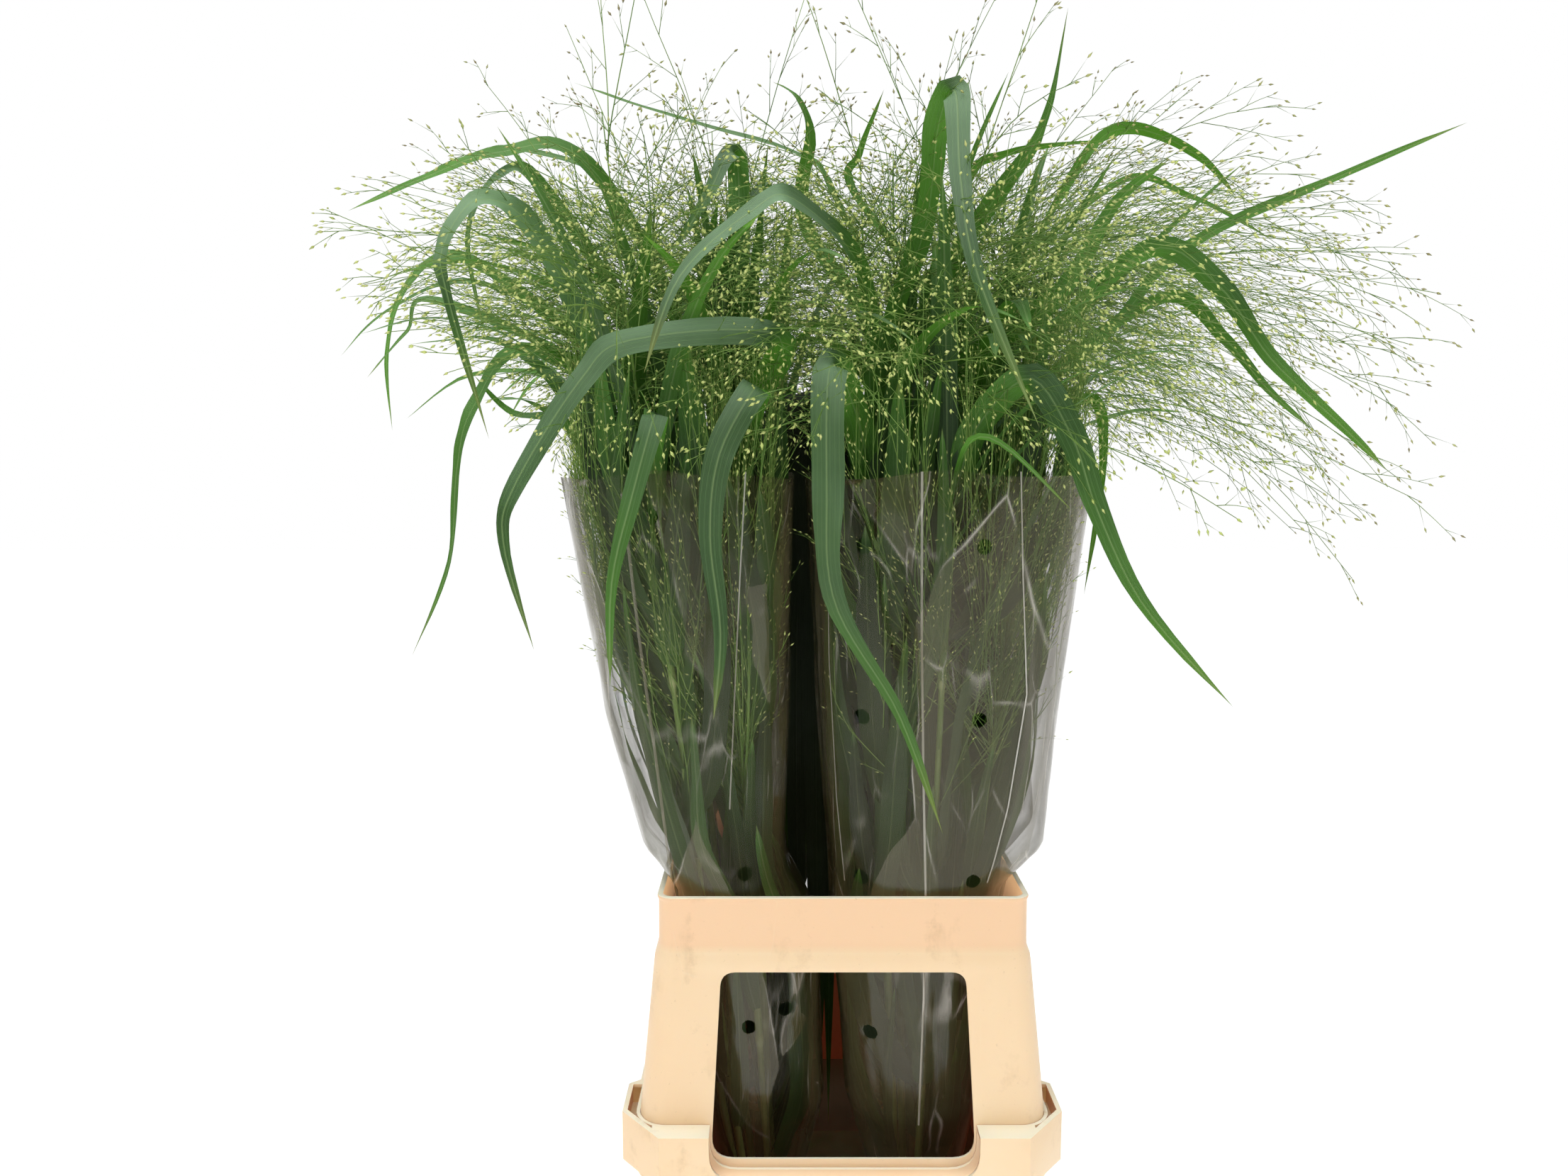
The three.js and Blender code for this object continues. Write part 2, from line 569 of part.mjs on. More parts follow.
// A large leaf keeps its route as seen from the front. It is bent forwards or back, and rooted lower, until
// it passes its neighbours.
function placeLargeLeaf([owner, height, width, rollFoot, rollTip, route], stems) {
  const first = route[0];
  for (let step = 0; step < LARGE.tries; step += 1) {
    const low = height - LARGE.lower * (step % LARGE.roots);
    const round = Math.floor(step / LARGE.roots);
    const bend = Math.ceil(round / 2) * LARGE.bend * (round % 2 ? -1 : 1);
    const root = stems[owner].point(low);
    const away = unit([first[0] - root[0], first[1] - root[1], 0]);
    const leave = [root[0] + LEAVE[0] * away[0], root[1] + LEAVE[0] * away[1], low + LEAVE[1]];
    const rise = [
      mix(root[0], first[0], LARGE.riseOut),
      mix(root[1], first[1], LARGE.riseOut) + bend / 4,
      mix(low, first[2], LARGE.riseUp),
    ];
    const bent = route.map(([x, y, z], i) => [x, y + bend * Math.min((i + 1) / 2, 1), z]);
    const leaf = { route: [root, leave, rise, ...bent], width, roll: [rollFoot, rollTip] };
    if (takes(owner, leaf, stems[owner].leaves.length)) {
      return leaf;
    }
  }
  return null;
}

// A leaf by rule: it leaves the stem steeply and bends over towards its heading
function arch(root, heading, length, start, end, width, roll) {
  const out = [Math.cos(heading), Math.sin(heading)];
  const route = [root, [root[0] + LEAVE[0] * out[0], root[1] + LEAVE[0] * out[1], root[2] + LEAVE[1]]];
  const step = length / ARCH.pieces;
  for (let i = 1; i <= ARCH.pieces; i += 1) {
    const slope = mix(start, end, ((i - 0.5) / ARCH.pieces) ** ARCH.ease) * Math.PI / 180;
    const last = route.at(-1);
    route.push([
      last[0] + out[0] * Math.cos(slope) * step,
      last[1] + out[1] * Math.cos(slope) * step,
      last[2] + Math.sin(slope) * step,
    ]);
  }
  return { route, width, side: [-out[1], out[0], 0], roll: [0, roll] };
}

function placeRuleLeaf(owner, stems, random, kind) {
  const stem = stems[owner];
  for (let step = 0; step < LEAF_TRIES; step += 1) {
    const height = between(random, [kind.low, Math.min(kind.high, stem.top - 60)]);
    const root = stem.point(height);
    const inner = kind === INNER;
    const heading = inner ? random() * 2 * Math.PI
      : Math.atan2(root[1], root[0]) + (random() - 0.5) * (2 + step * 0.05);
    const end = between(random, kind.end);
    const length = between(random, kind.length);
    const width = between(random, kind.width);
    const leaf = arch(root, heading, length, kind.start, end, width, (random() - 0.5) * LEAF_ROLL);
    if (takes(owner, leaf, stem.leaves.length)) {
      return leaf;
    }
  }
  return null;
}

// Middle lines, leaves and solids of all stems
function growStems() {
  const stems = {};
  for (const [name, bunch] of Object.entries(BUNCHES)) {
    bunch.tops.forEach((top, number) => {
      const owner = `${name}_${number + 1}`;
      const point = (z) => culmPoint(bunch, number, z);
      const up = unit(add(point(top), point(top - 60), -1));
      const foot = add(point(top), up, GAP + 0.2);
      const length = PANICLE.axis + PANICLE.axisStep * number;
      stems[owner] = { bunch, number, top, point, axis: { foot, up, length }, leaves: [] };
      const culm = Array.from({ length: Math.ceil(top / LEAF_STEP) }, (_, i) => point(i * LEAF_STEP));
      occupy(owner, culm, CULM_REACH);
      const steps = Math.ceil(length / LEAF_STEP);
      const axis = Array.from({ length: steps }, (_, i) => add(foot, up, i * LEAF_STEP));
      occupy(`axis_${owner}`, axis, TWIG_REACH);
    });
  }
  for (const row of LARGE_LEAVES) {
    const leaf = placeLargeLeaf(row, stems);
    if (leaf) {
      stems[row[0]].leaves.push({ ...leaf, steps: leaf.route.length - 1 });
    }
  }
  const random = randomSource(11);
  for (const [owner, stem] of Object.entries(stems)) {
    const face = owner.split('_')[0];
    for (const kind of stem.top > 600 ? [INNER, OUTER] : [INNER]) {
      for (let i = 0; i < kind.perStem[face]; i += 1) {
        const leaf = placeRuleLeaf(owner, stems, random, kind);
        if (leaf) {
          stem.leaves.push({ ...leaf, steps: kind.steps });
        }
      }
    }
  }
  return stems;
}

function makeStem(stem) {
  const rings = culmRings(stem.bunch, stem.number);
  const points = rings.map(([z]) => stem.point(z));
  const radii = rings.map(([, radius]) => radius);
  const culm = ringSolid(points.map(([x, y, z], i) => Array.from({ length: CULM_SIDES }, (_, j) => {
    const angle = j / CULM_SIDES * 2 * Math.PI;
    return [x + radii[i] * Math.cos(angle), y + radii[i] * Math.sin(angle), z];
  })));
  let solid = toSolid(culm);
  for (const leaf of stem.leaves) {
    solid = solid.add(leafSolid(leaf, leaf.steps));
  }
  return toGeometry(solid);
}

// An open panicle: an axis that goes on from the stem, and thin branches that end in a spikelet
function makePanicle(owner, stem, random) {
  const { foot, up, length } = stem.axis;
  const name = `axis_${owner}`;
  const inside = stem.top < 600;
  let solid = toSolid(tube([0, 0.5, 1].map((t) => add(foot, up, length * t)), PANICLE.thick, 4));
  const side = unit(cross(up, [1, 0, 0]));
  const other = cross(up, side);
  const azimuth = random() * 2 * Math.PI;
  for (let i = 0; i < PANICLE.branches; i += 1) {
    const t = (i + 0.5) / PANICLE.branches;
    for (let step = 0; step < PANICLE.tries; step += 1) {
      const turn = azimuth + PANICLE.turn * i + (random() - 0.5) * (0.4 + step * 0.15);
      const spread = mix(PANICLE.openFoot, PANICLE.openTop, t) + (random() - 0.5) * PANICLE.openJitter;
      const open = (inside ? between(random, PANICLE.openInside) : spread) * Math.PI / 180;
      const shorter = inside ? PANICLE.shorterInside : mix(1, PANICLE.shorterTop, t);
      const reach = between(random, PANICLE.reach) * shorter;
      const out = add(side.map((v) => v * Math.cos(turn)), other, Math.sin(turn));
      const root = add(foot, up, length * mix(...PANICLE.roots, t));
      const sag = inside ? 0 : between(random, PANICLE.sag);
      const at = (s) => {
        const point = add(add(root, up, reach * s * Math.cos(open)), out, reach * s * Math.sin(open));
        return [point[0], point[1], point[2] - reach * sag * s * s];
      };
      const last = PANICLE.samples - 1;
      const samples = Array.from({ length: last + 1 }, (_, k) => at(mix(0.04, 1, k / last)));
      if (meets(name, samples, TWIG_REACH) || meetsFilm(samples, 4)) {
        continue;
      }
      occupy(name, samples, TWIG_REACH);
      const bulb = SPIKELET.length / reach;
      const places = [0, 0.5, 1 - bulb, 1 - bulb * 0.4, 1];
      const radii = [...TWIG, SPIKELET.radius, 0.2];
      solid = solid.add(toSolid(tube(places.map(at), radii, 3, turn)));
      break;
    }
  }
  return toGeometry(solid);
}

function makeBand(bunch) {
  const foot = sleeveAt(bunch.sleeve, bunch.sleeve[0][0]);
  const inside = (CLUSTER + CULM[0] + GAP) / Math.cos(Math.PI / 12);
  const profile = [
    [inside, BAND.foot], [inside + BAND.thick, BAND.foot], [inside + BAND.thick, BAND.top],
    [inside, BAND.top], [inside, BAND.foot],
  ].map(([r, z]) => new THREE.Vector2(r, z));
  const geometry = new THREE.LatheGeometry(profile, 12);
  geometry.rotateX(Math.PI / 2);
  geometry.translate(foot.x, foot.y, 0);
  return toGeometry(toSolid(facingOut(mergedBare(geometry))));
}

function mergedBare(geometry) {
  geometry.deleteAttribute('normal');
  geometry.deleteAttribute('uv');
  return mergeVertices(geometry, 1e-4);
}

function makeWater(stems) {
  const [bx, by] = BASE_HALF;
  const climb = (MOUTH_HALF[0] - SHELF - bx + WALL) / (SEAT_Z - FLOOR);
  const climbY = (MOUTH_HALF[1] - SHELF - by + WALL) / (SEAT_Z - FLOOR);
  const inset = WALL + 2 * GAP;
  const ring = (z) => roundRing(z, bx - inset + climb * (z - FLOOR), by - inset + climbY * (z - FLOOR),
    BASE_RADIUS - WALL);
  let water = toSolid(ringSolid([ring(FLOOR + GAP), ring(WATER_TOP)]));
  for (const stem of Object.values(stems)) {
    const [x, y] = stem.point(50);
    const hole = Array.from({ length: 4 }, (_, i) => {
      const angle = i / 4 * 2 * Math.PI;
      const radius = (CULM[0] + GAP) / Math.cos(Math.PI / 4);
      return [x + radius * Math.cos(angle), y + radius * Math.sin(angle)];
    });
    water = water.subtract(prism(hole, 0, WATER_TOP + 5));
  }
  return toGeometry(water);
}

const model = new THREE.Group();
model.name = 'potted_switchgrass';

function place(name, geometry, colour, roughness, extra = {}) {
  const material = new THREE.MeshStandardMaterial({ color: colour, roughness, metalness: 0, ...extra });
  const mesh = new THREE.Mesh(geometry, material);
  mesh.name = name;
  model.add(mesh);
}

const stems = growStems();
place('bucket', makeBucket(), COLOURS.bucket, 0.5);
place('collar', makeCollar(), COLOURS.collar, 0.5);
place('water', makeWater(stems), COLOURS.water, 0.05);
for (const [name, bunch] of Object.entries(BUNCHES)) {
  place(`sleeve_${name}`, makeSleeve(bunch), COLOURS.film, 0.15, { transparent: true, opacity: 0.4 });
  place(`band_${name}`, makeBand(bunch), COLOURS.band, 0.7);
}
const panicleRandom = randomSource(23);
for (const [owner, stem] of Object.entries(stems)) {
  place(`stem_${owner}`, makeStem(stem), COLOURS.stem, 0.5);
  place(`panicle_${owner}`, makePanicle(owner, stem, panicleRandom), COLOURS.panicle, 0.6);
}

export default model;
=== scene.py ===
import math

import bmesh
import bpy
import numpy as np
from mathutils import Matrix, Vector, kdtree, noise


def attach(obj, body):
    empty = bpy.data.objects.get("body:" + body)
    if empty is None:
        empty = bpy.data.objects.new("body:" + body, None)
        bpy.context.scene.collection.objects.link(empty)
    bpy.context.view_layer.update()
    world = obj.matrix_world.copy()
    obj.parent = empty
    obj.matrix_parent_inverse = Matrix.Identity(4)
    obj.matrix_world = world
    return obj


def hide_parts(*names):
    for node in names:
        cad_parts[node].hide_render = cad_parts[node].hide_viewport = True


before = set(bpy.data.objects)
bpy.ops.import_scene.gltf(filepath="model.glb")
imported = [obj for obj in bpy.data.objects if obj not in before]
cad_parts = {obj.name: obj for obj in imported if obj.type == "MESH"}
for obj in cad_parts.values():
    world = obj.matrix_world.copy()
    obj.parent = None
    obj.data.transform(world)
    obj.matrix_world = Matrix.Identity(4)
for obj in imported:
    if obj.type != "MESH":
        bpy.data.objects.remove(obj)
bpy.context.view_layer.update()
MM = 0.001

# Camera, light and floor

PHOTO_WIDTH, FOCAL_PX, SENSOR = 2212, 1661, 36
EYE, PITCH_DOWN = (-0.041, -0.952, 0.676), 6.17
WHITE = (1, 1, 1, 1)

# Strength of the world's light from below and from above
SKY = (0.14, 0.65)

# Area lights: place, the point that they face, size and power
LIGHTS = {
    "top": ((-0.3, -0.6, 2.4), (0, 0, 0.8), (1.6, 1.6), 12),
    "front_left": ((-1.1, -1.7, 2.9), (0, -0.1, 0.4), (0.8, 1.4), 23),
    "front_right": ((1.5, -1.6, 2.5), (0, -0.1, 0.35), (0.6, 1.2), 10),
}
FLOOR_CORNERS = [(-6, -4, 0), (6, -4, 0), (6, 8, 0), (-6, 8, 0)]


def link(thing):
    bpy.context.scene.collection.objects.link(thing)
    return thing


def look():
    data = bpy.data.cameras.new("camera")
    data.sensor_width = SENSOR
    data.lens = SENSOR * FOCAL_PX / PHOTO_WIDTH
    data.clip_start = 0.01
    camera = link(bpy.data.objects.new("camera", data))
    camera.location = EYE
    camera.rotation_euler = (math.radians(90 - PITCH_DOWN), 0, 0)
    bpy.context.scene.camera = camera


def area_light(name, place, target, size, power):
    data = bpy.data.lights.new(name, "AREA")
    data.shape = "RECTANGLE"
    data.size, data.size_y = size
    data.energy = power
    lamp = link(bpy.data.objects.new(name, data))
    lamp.location = place
    lamp.rotation_mode = "QUATERNION"
    lamp.rotation_quaternion = (Vector(target) - Vector(place)).to_track_quat("-Z", "Y")


def studio_world():
    """A white backdrop that lights the object like a ceiling: bright overhead, dimmer towards the floor."""
    n = Nodes("studio", world=True)
    height = n.part(n.add("TexCoord").outputs["Generated"], 2)
    ceiling = n.add("Background", Color=WHITE, Strength=n.ramp(height, -0.1, 0.9, *SKY))
    shown = n.add("LightPath").outputs["Is Camera Ray"]
    return n.surface(n.add("MixShader", Fac=shown, i1=ceiling, i2=n.add("Background", Color=WHITE)))


def light_and_floor():
    scene = bpy.context.scene
    scene.view_settings.view_transform = "Standard"
    scene.world = studio_world()
    for name, row in LIGHTS.items():
        area_light(name, *row)
    mesh = bpy.data.meshes.new("floor")
    mesh.from_pydata(FLOOR_CORNERS, [], [(0, 1, 2, 3)])
    mesh.materials.append(floor_material())
    link(bpy.data.objects.new("floor", mesh))


# Materials


class Nodes:
    """Short way to write a node tree that ends in one surface shader."""

    def __init__(self, name, world=False):
        self.owner = (bpy.data.worlds if world else bpy.data.materials).new(name)
        self.owner.use_nodes = True
        self.tree = self.owner.node_tree
        self.tree.nodes.clear()
        self.out = self.add("OutputWorld" if world else "OutputMaterial")

    def add(self, kind, settings=None, **inputs):
        """A node with its inputs by name, or by number as i0, i1 and so on."""
        node = self.tree.nodes.new("ShaderNode" + kind)
        for key, value in (settings or {}).items():
            setattr(node, key, value)
        for key, value in inputs.items():
            numbered = key[0] == "i" and key[1:].isdigit()
            self.put(node.inputs[int(key[1:]) if numbered else key.replace("_", " ")], value)
        return node

    def put(self, socket, value):
        if isinstance(value, bpy.types.NodeSocket):
            self.tree.links.new(value, socket)
        elif isinstance(value, bpy.types.Node):
            self.tree.links.new(value.outputs[0], socket)
        else:
            socket.default_value = value

    def math(self, operation, a, b=0.0):
        return self.add("Math", {"operation": operation}, i0=a, i1=b).outputs[0]

    def times(self, a, b):
        return self.math("MULTIPLY", a, b)

    def plus(self, a, b):
        return self.math("ADD", a, b)

    def vector(self, operation, *inputs):
        return self.add("VectorMath", {"operation": operation}, **{f"i{k}": v for k, v in enumerate(inputs)})

    def part(self, vector, axis):
        return self.add("SeparateXYZ", Vector=vector).outputs[axis]

    def place(self):
        return self.add("TexCoord").outputs["Object"]

    def normal(self):
        return self.add("NewGeometry").outputs["Normal"]

    def attribute(self, name):
        return self.add("Attribute", {"attribute_name": name}).outputs["Fac"]

    def noise(self, scale, detail=3.0, vector=None, rough=0.5):
        node = self.add("TexNoise", Scale=scale, Detail=detail, Roughness=rough)
        if vector is not None:
            self.put(node.inputs["Vector"], vector)
        return node.outputs[0]

    def cells(self, feature, vector, scale=1.0):
        return self.add("TexVoronoi", {"feature": feature}, Vector=vector, Scale=scale)

    def ramp(self, value, low, high, to_low=0.0, to_high=1.0):
        node = self.add("MapRange", {"clamp": True}, i0=value, i1=low, i2=high, i3=to_low, i4=to_high)
        return node.outputs[0]

    def mix(self, share, a, b, mode="MIX"):
        node = self.add("Mix", {"data_type": "RGBA", "blend_type": mode}, i0=share, i6=a, i7=b)
        return node.outputs[2]

    def stretched(self, scale):
        return self.add("Mapping", Vector=self.place(), Scale=scale).outputs[0]

    def bump(self, height, distance, strength=1.0):
        return self.add("Bump", Height=height, Distance=distance, Strength=strength).outputs[0]

    def surface(self, shader):
        self.put(self.out.inputs["Surface"], shader)
        return self.owner


def rgb(red, green, blue):
    """Linear colour of an sRGB triple."""
    def linear(v):
        v /= 255
        return v / 12.92 if v <= 0.04045 else ((v + 0.055) / 1.055) ** 2.4
    return (linear(red), linear(green), linear(blue), 1.0)


def floor_material():
    n = Nodes("floor_white")
    grain = n.noise(40.0)
    colour = n.mix(n.ramp(grain, 0.3, 0.7), rgb(252, 252, 252), rgb(255, 255, 255))
    return n.surface(n.add("BsdfPrincipled", Base_Color=colour, Roughness=0.9,
                           Emission_Color=(1.0, 1.0, 1.0, 1.0), Emission_Strength=0.5))


def plastic(name, base, warm, stain, band):
    """Moulded cream plastic: faint mottling, rubbed dirt, scratches, a satin sheen, painted light on the
    faces that look up and a painted glow on those that look inwards.
    """
    n = Nodes(name)
    place = n.place()
    cloud = n.noise(9.0, 4.0, place)
    colour = n.mix(n.ramp(cloud, 0.35, 0.68), base, warm)
    level = n.part(place, 2)
    colour = n.mix(n.ramp(level, 0.338, 0.343), colour, band)
    # Painted light: the faces that look up are painted paler, as if lit from above
    upward = n.part(n.normal(), 2)
    colour = n.mix(n.ramp(upward, 0.3, 0.9), colour, rgb(255, 248, 224))
    dirt = n.noise(26.0, 8.0, place, 0.68)
    streak = n.noise(1.0, 5.0, n.stretched((60.0, 60.0, 9.0)), 0.6)
    rubbed = n.times(n.ramp(dirt, 0.56, 0.78), n.ramp(streak, 0.42, 0.66))
    colour = n.mix(n.times(rubbed, 0.8), colour, stain)
    specks = n.noise(420.0, 2.0, place)
    colour = n.mix(n.ramp(specks, 0.70, 0.78, 0.0, 0.25), colour, stain)
    marks = n.cells("DISTANCE_TO_EDGE", n.stretched((1.0, 1.0, 0.35)), 14.0).outputs["Distance"]
    scratch = n.times(n.ramp(marks, 0.0, 0.006, 1.0, 0.0), n.ramp(dirt, 0.5, 0.7))
    colour = n.mix(n.times(scratch, 0.18), colour, rgb(255, 244, 226))
    fine = n.noise(900.0, 2.0, place)
    height = n.plus(n.times(fine, 0.25), n.times(cloud, 1.2))
    height = n.math("SUBTRACT", height, n.times(scratch, 0.4))
    rough = n.ramp(n.plus(rubbed, n.times(cloud, 0.6)), 0.1, 1.2, 0.36, 0.62)
    # Painted glow: the faces that look inwards get an emission, and lower down an orange-brown colour, that
    # stand in for the daylight that comes through the thin walls
    outward = n.vector("DOT_PRODUCT", n.normal(), n.stretched((1.0, 1.0, 0.0))).outputs["Value"]
    inside = n.times(n.ramp(outward, -0.12, -0.05, 1.0, 0.0), n.ramp(level, 0.3, 0.37, 0.2, 0.6))
    colour = n.mix(n.times(inside, n.ramp(level, 0.3, 0.37, 3.0, 0.0)), colour, rgb(150, 84, 52))
    through = n.mix(n.ramp(level, 0.3, 0.37), rgb(100, 36, 18), rgb(236, 190, 140))
    return n.surface(n.add(
        "BsdfPrincipled", Base_Color=colour, Roughness=rough, Normal=n.bump(height, 0.0003, 0.5),
        Emission_Color=through, Emission_Strength=inside,
        Specular_IOR_Level=0.35, Subsurface_Weight=0.12, Subsurface_Scale=0.006,
        Subsurface_Radius=(1.0, 0.5, 0.2)))


def blade_material():
    """Grass blade: fine ribs along its length, a pale midrib, cloudy greens and light shining through, with
    painted sheen, painted backlight and painted shade.
    """
    n = Nodes("grass_blade")
    uv = n.add("SeparateXYZ", Vector=n.add("TexCoord").outputs["UV"])
    across, length = uv.outputs[0], uv.outputs[1]
    tone = n.attribute("tone")
    age = n.attribute("age")
    place = n.place()
    cloud = n.noise(35.0, 4.0, place)
    ramp = n.add("ValToRGB", Fac=tone)
    stops = ramp.color_ramp.elements
    stops[0].position, stops[0].color = 0.0, rgb(126, 160, 114)
    stops[1].position, stops[1].color = 1.0, rgb(98, 162, 46)
    middle = stops.new(0.5)
    middle.color = rgb(42, 70, 34)
    colour = n.mix(n.ramp(cloud, 0.3, 0.7, 0.0, 0.35), ramp.outputs["Color"], rgb(32, 70, 32))
    # Waxy bloom and painted sheen: faces that look up are painted pale sage, as if they reflect the light
    # from above
    upward = n.part(n.normal(), 2)
    bloom_and_painted_sheen = n.times(n.ramp(upward, 0.1, 0.85, 0.0, 0.75), n.ramp(tone, 0.2, 0.8, 1.0, 0.2))
    colour = n.mix(bloom_and_painted_sheen, colour, rgb(160, 194, 160))
    # Painted backlight: undersides that are seen are painted a brighter green, as if lit through the blade
    below = n.ramp(upward, -0.75, -0.1, 0.55, 0.0)
    colour = n.mix(below, colour, rgb(106, 172, 54))
    wobble = n.times(n.noise(60.0, 2.0, place), 0.6)
    rib = n.math("SINE", n.times(n.plus(across, n.times(wobble, 0.1)), 6.6))
    rib = n.ramp(rib, -1.0, 1.0)
    colour = n.mix(n.times(rib, 0.12), colour, rgb(140, 170, 116))
    vein = n.math("SINE", n.times(across, 2.1))
    colour = n.mix(n.ramp(vein, 0.7, 1.0, 0.0, 0.2), colour, rgb(130, 170, 110))
    middle_line = n.ramp(n.math("ABSOLUTE", across), 0.2, 0.7, 1.0, 0.0)
    colour = n.mix(n.times(middle_line, 0.45), colour, rgb(160, 186, 126))
    fleck_place = n.add("CombineXYZ", X=n.times(across, 0.4), Y=n.times(length, 0.02)).outputs[0]
    flecks = n.noise(8.0, 3.0, fleck_place)
    colour = n.mix(n.ramp(flecks, 0.62, 0.75, 0.0, 0.2), colour, rgb(150, 170, 100))
    colour = n.mix(n.times(age, 0.75), colour, rgb(176, 158, 84))
    # Painted shade: below 0 the age-and-shade number darkens the blade
    dim = n.ramp(age, -1.0, 0.0, 0.9, 0.0)
    colour = n.mix(dim, colour, rgb(34, 38, 20))
    height = n.plus(rib, n.times(middle_line, -1.5))
    normal = n.bump(height, 0.00012, 0.8)
    rough = n.ramp(cloud, 0.3, 0.7, 0.42, 0.58)
    leaf = n.add("BsdfPrincipled", Base_Color=colour, Roughness=rough, Normal=normal,
                 Specular_IOR_Level=0.45)
    glow = n.mix(0.6, colour, rgb(150, 205, 40), "MULTIPLY")
    glow = n.mix(0.5, glow, rgb(104, 176, 30))
    # Painted shade on the light through the blade as well
    glow = n.mix(dim, glow, rgb(30, 36, 14))
    through = n.add("BsdfTranslucent", Color=glow, Normal=normal)
    return n.surface(n.add("MixShader", Fac=n.ramp(upward, -0.6, 0.2, 0.42, 0.28), i1=leaf, i2=through))


def culm_material():
    """Smooth green stem, paler towards the foot, with fine lengthwise streaks."""
    n = Nodes("grass_culm")
    streak = n.noise(1.0, 4.0, n.stretched((900.0, 900.0, 12.0)))
    place = n.place()
    cloud = n.noise(14.0, 3.0, place)
    height = n.part(place, 2)
    colour = n.mix(n.ramp(height, 0.1, 0.6), rgb(168, 176, 104), rgb(112, 150, 62))
    colour = n.mix(n.ramp(streak, 0.35, 0.7, 0.0, 0.5), colour, rgb(84, 128, 48))
    colour = n.mix(n.ramp(cloud, 0.5, 0.75, 0.0, 0.4), colour, rgb(150, 150, 90))
    colour = n.mix(n.attribute("tone"), colour, rgb(186, 196, 130))
    return n.surface(n.add("BsdfPrincipled", Base_Color=colour, Roughness=n.ramp(streak, 0.3, 0.7, 0.34, 0.5),
                           Normal=n.bump(streak, 0.0002, 0.5), Specular_IOR_Level=0.5))


def hair_material():
    """Hair-fine panicle branches."""
    n = Nodes("panicle_branch")
    place = n.place()
    cloud = n.noise(18.0, 3.0, place)
    colour = n.mix(n.ramp(cloud, 0.35, 0.65), rgb(84, 124, 42), rgb(126, 158, 72))
    colour = n.mix(n.times(n.attribute("tone"), 0.8), colour, rgb(150, 140, 110))
    fine = n.noise(500.0, 2.0, place)
    return n.surface(n.add("BsdfPrincipled", Base_Color=colour, Roughness=n.ramp(fine, 0.3, 0.7, 0.45, 0.6)))


def spikelet_material():
    """Pale yellow-green spikelets with slightly darker, browner tips."""
    n = Nodes("panicle_spikelet")
    place = n.place()
    cloud = n.noise(120.0, 2.0, place)
    colour = n.mix(n.ramp(cloud, 0.3, 0.7), rgb(226, 230, 150), rgb(190, 210, 110))
    colour = n.mix(n.times(n.attribute("tone"), 0.85), colour, rgb(132, 112, 92))
    colour = n.mix(n.times(n.attribute("age"), 0.55), colour, rgb(120, 140, 56))
    return n.surface(n.add("BsdfPrincipled", Base_Color=colour, Roughness=n.ramp(cloud, 0.3, 0.7, 0.4, 0.55)))


def film_material(name, least, most, tint):
    """Clear film with a smoky tint: facets of a different haze, thin creases painted pale as highlights,
    denser seen edge on.
    """
    n = Nodes(name)
    place = n.place()
    warp = n.add("TexNoise", Vector=place, Scale=9.0, Detail=2.0).outputs["Color"]
    bent = n.vector("MULTIPLY_ADD", warp, (0.03, 0.03, 0.06), place)
    facets = n.vector("MULTIPLY", bent, (15.0, 15.0, 4.5))
    facet = n.cells("F1", facets)
    border = n.cells("DISTANCE_TO_EDGE", facets).outputs["Distance"]
    fine = n.cells("DISTANCE_TO_EDGE", n.vector("MULTIPLY", bent, (42.0, 42.0, 11.0))).outputs["Distance"]
    haze = n.part(facet.outputs["Color"], 0)
    smear = n.noise(1.0, 3.0, n.stretched((10.0, 10.0, 3.0)))
    broken = n.ramp(n.noise(14.0, 3.0, place), 0.46, 0.62)
    rare = n.ramp(n.noise(22.0, 2.0, place), 0.54, 0.68)
    # Painted highlight: thin pale lines along the creases, where the film is also a little denser
    crease_highlight = n.plus(n.times(n.ramp(border, 0.0, 0.014, 1.0, 0.0), broken),
                    n.times(n.ramp(fine, 0.0, 0.03, 0.7, 0.0), rare))
    edge = n.ramp(n.add("LayerWeight", Blend=0.3).outputs["Facing"], 0.15, 0.6, 0.0, 0.6)
    alpha = n.ramp(n.plus(n.times(haze, 0.7), n.times(smear, 0.5)), 0.3, 0.9, least, most)
    alpha = n.plus(n.plus(alpha, edge), n.times(crease_highlight, 0.4))
    colour = n.mix(n.ramp(smear, 0.35, 0.65), tint, rgb(112, 104, 74))
    colour = n.mix(n.times(crease_highlight, 0.8), colour, rgb(206, 202, 190))
    height = n.plus(n.times(facet.outputs["Distance"], 0.5), n.times(n.noise(16.0, 4.0, place), 0.5))
    rough = n.ramp(smear, 0.3, 0.7, 0.06, 0.2)
    return n.surface(n.add("BsdfPrincipled", Base_Color=colour, Roughness=rough, Alpha=alpha,
                           Normal=n.bump(height, 0.004, 0.5), Specular_IOR_Level=0.8,
                           Coat_Weight=0.4, Coat_Roughness=0.08))


def water_material():
    n = Nodes("still_water")
    place = n.place()
    ripple = n.noise(30.0, 2.0, place)
    colour = n.mix(n.ramp(ripple, 0.3, 0.7), rgb(150, 168, 140), rgb(126, 148, 118))
    return n.surface(n.add("BsdfPrincipled", Base_Color=colour, Roughness=0.04,
                           Alpha=n.ramp(ripple, 0.3, 0.7, 0.5, 0.62), Normal=n.bump(ripple, 0.001, 0.3)))


def rubber_material():
    n = Nodes("rubber_band")
    place = n.place()
    cloud = n.noise(120.0, 3.0, place)
    colour = n.mix(n.ramp(cloud, 0.3, 0.7), rgb(190, 150, 88), rgb(166, 124, 66))
    return n.surface(n.add("BsdfPrincipled", Base_Color=colour, Roughness=n.ramp(cloud, 0.3, 0.7, 0.55, 0.7),
                           Normal=n.bump(cloud, 0.0002, 0.6)))


# The growth, as in the source

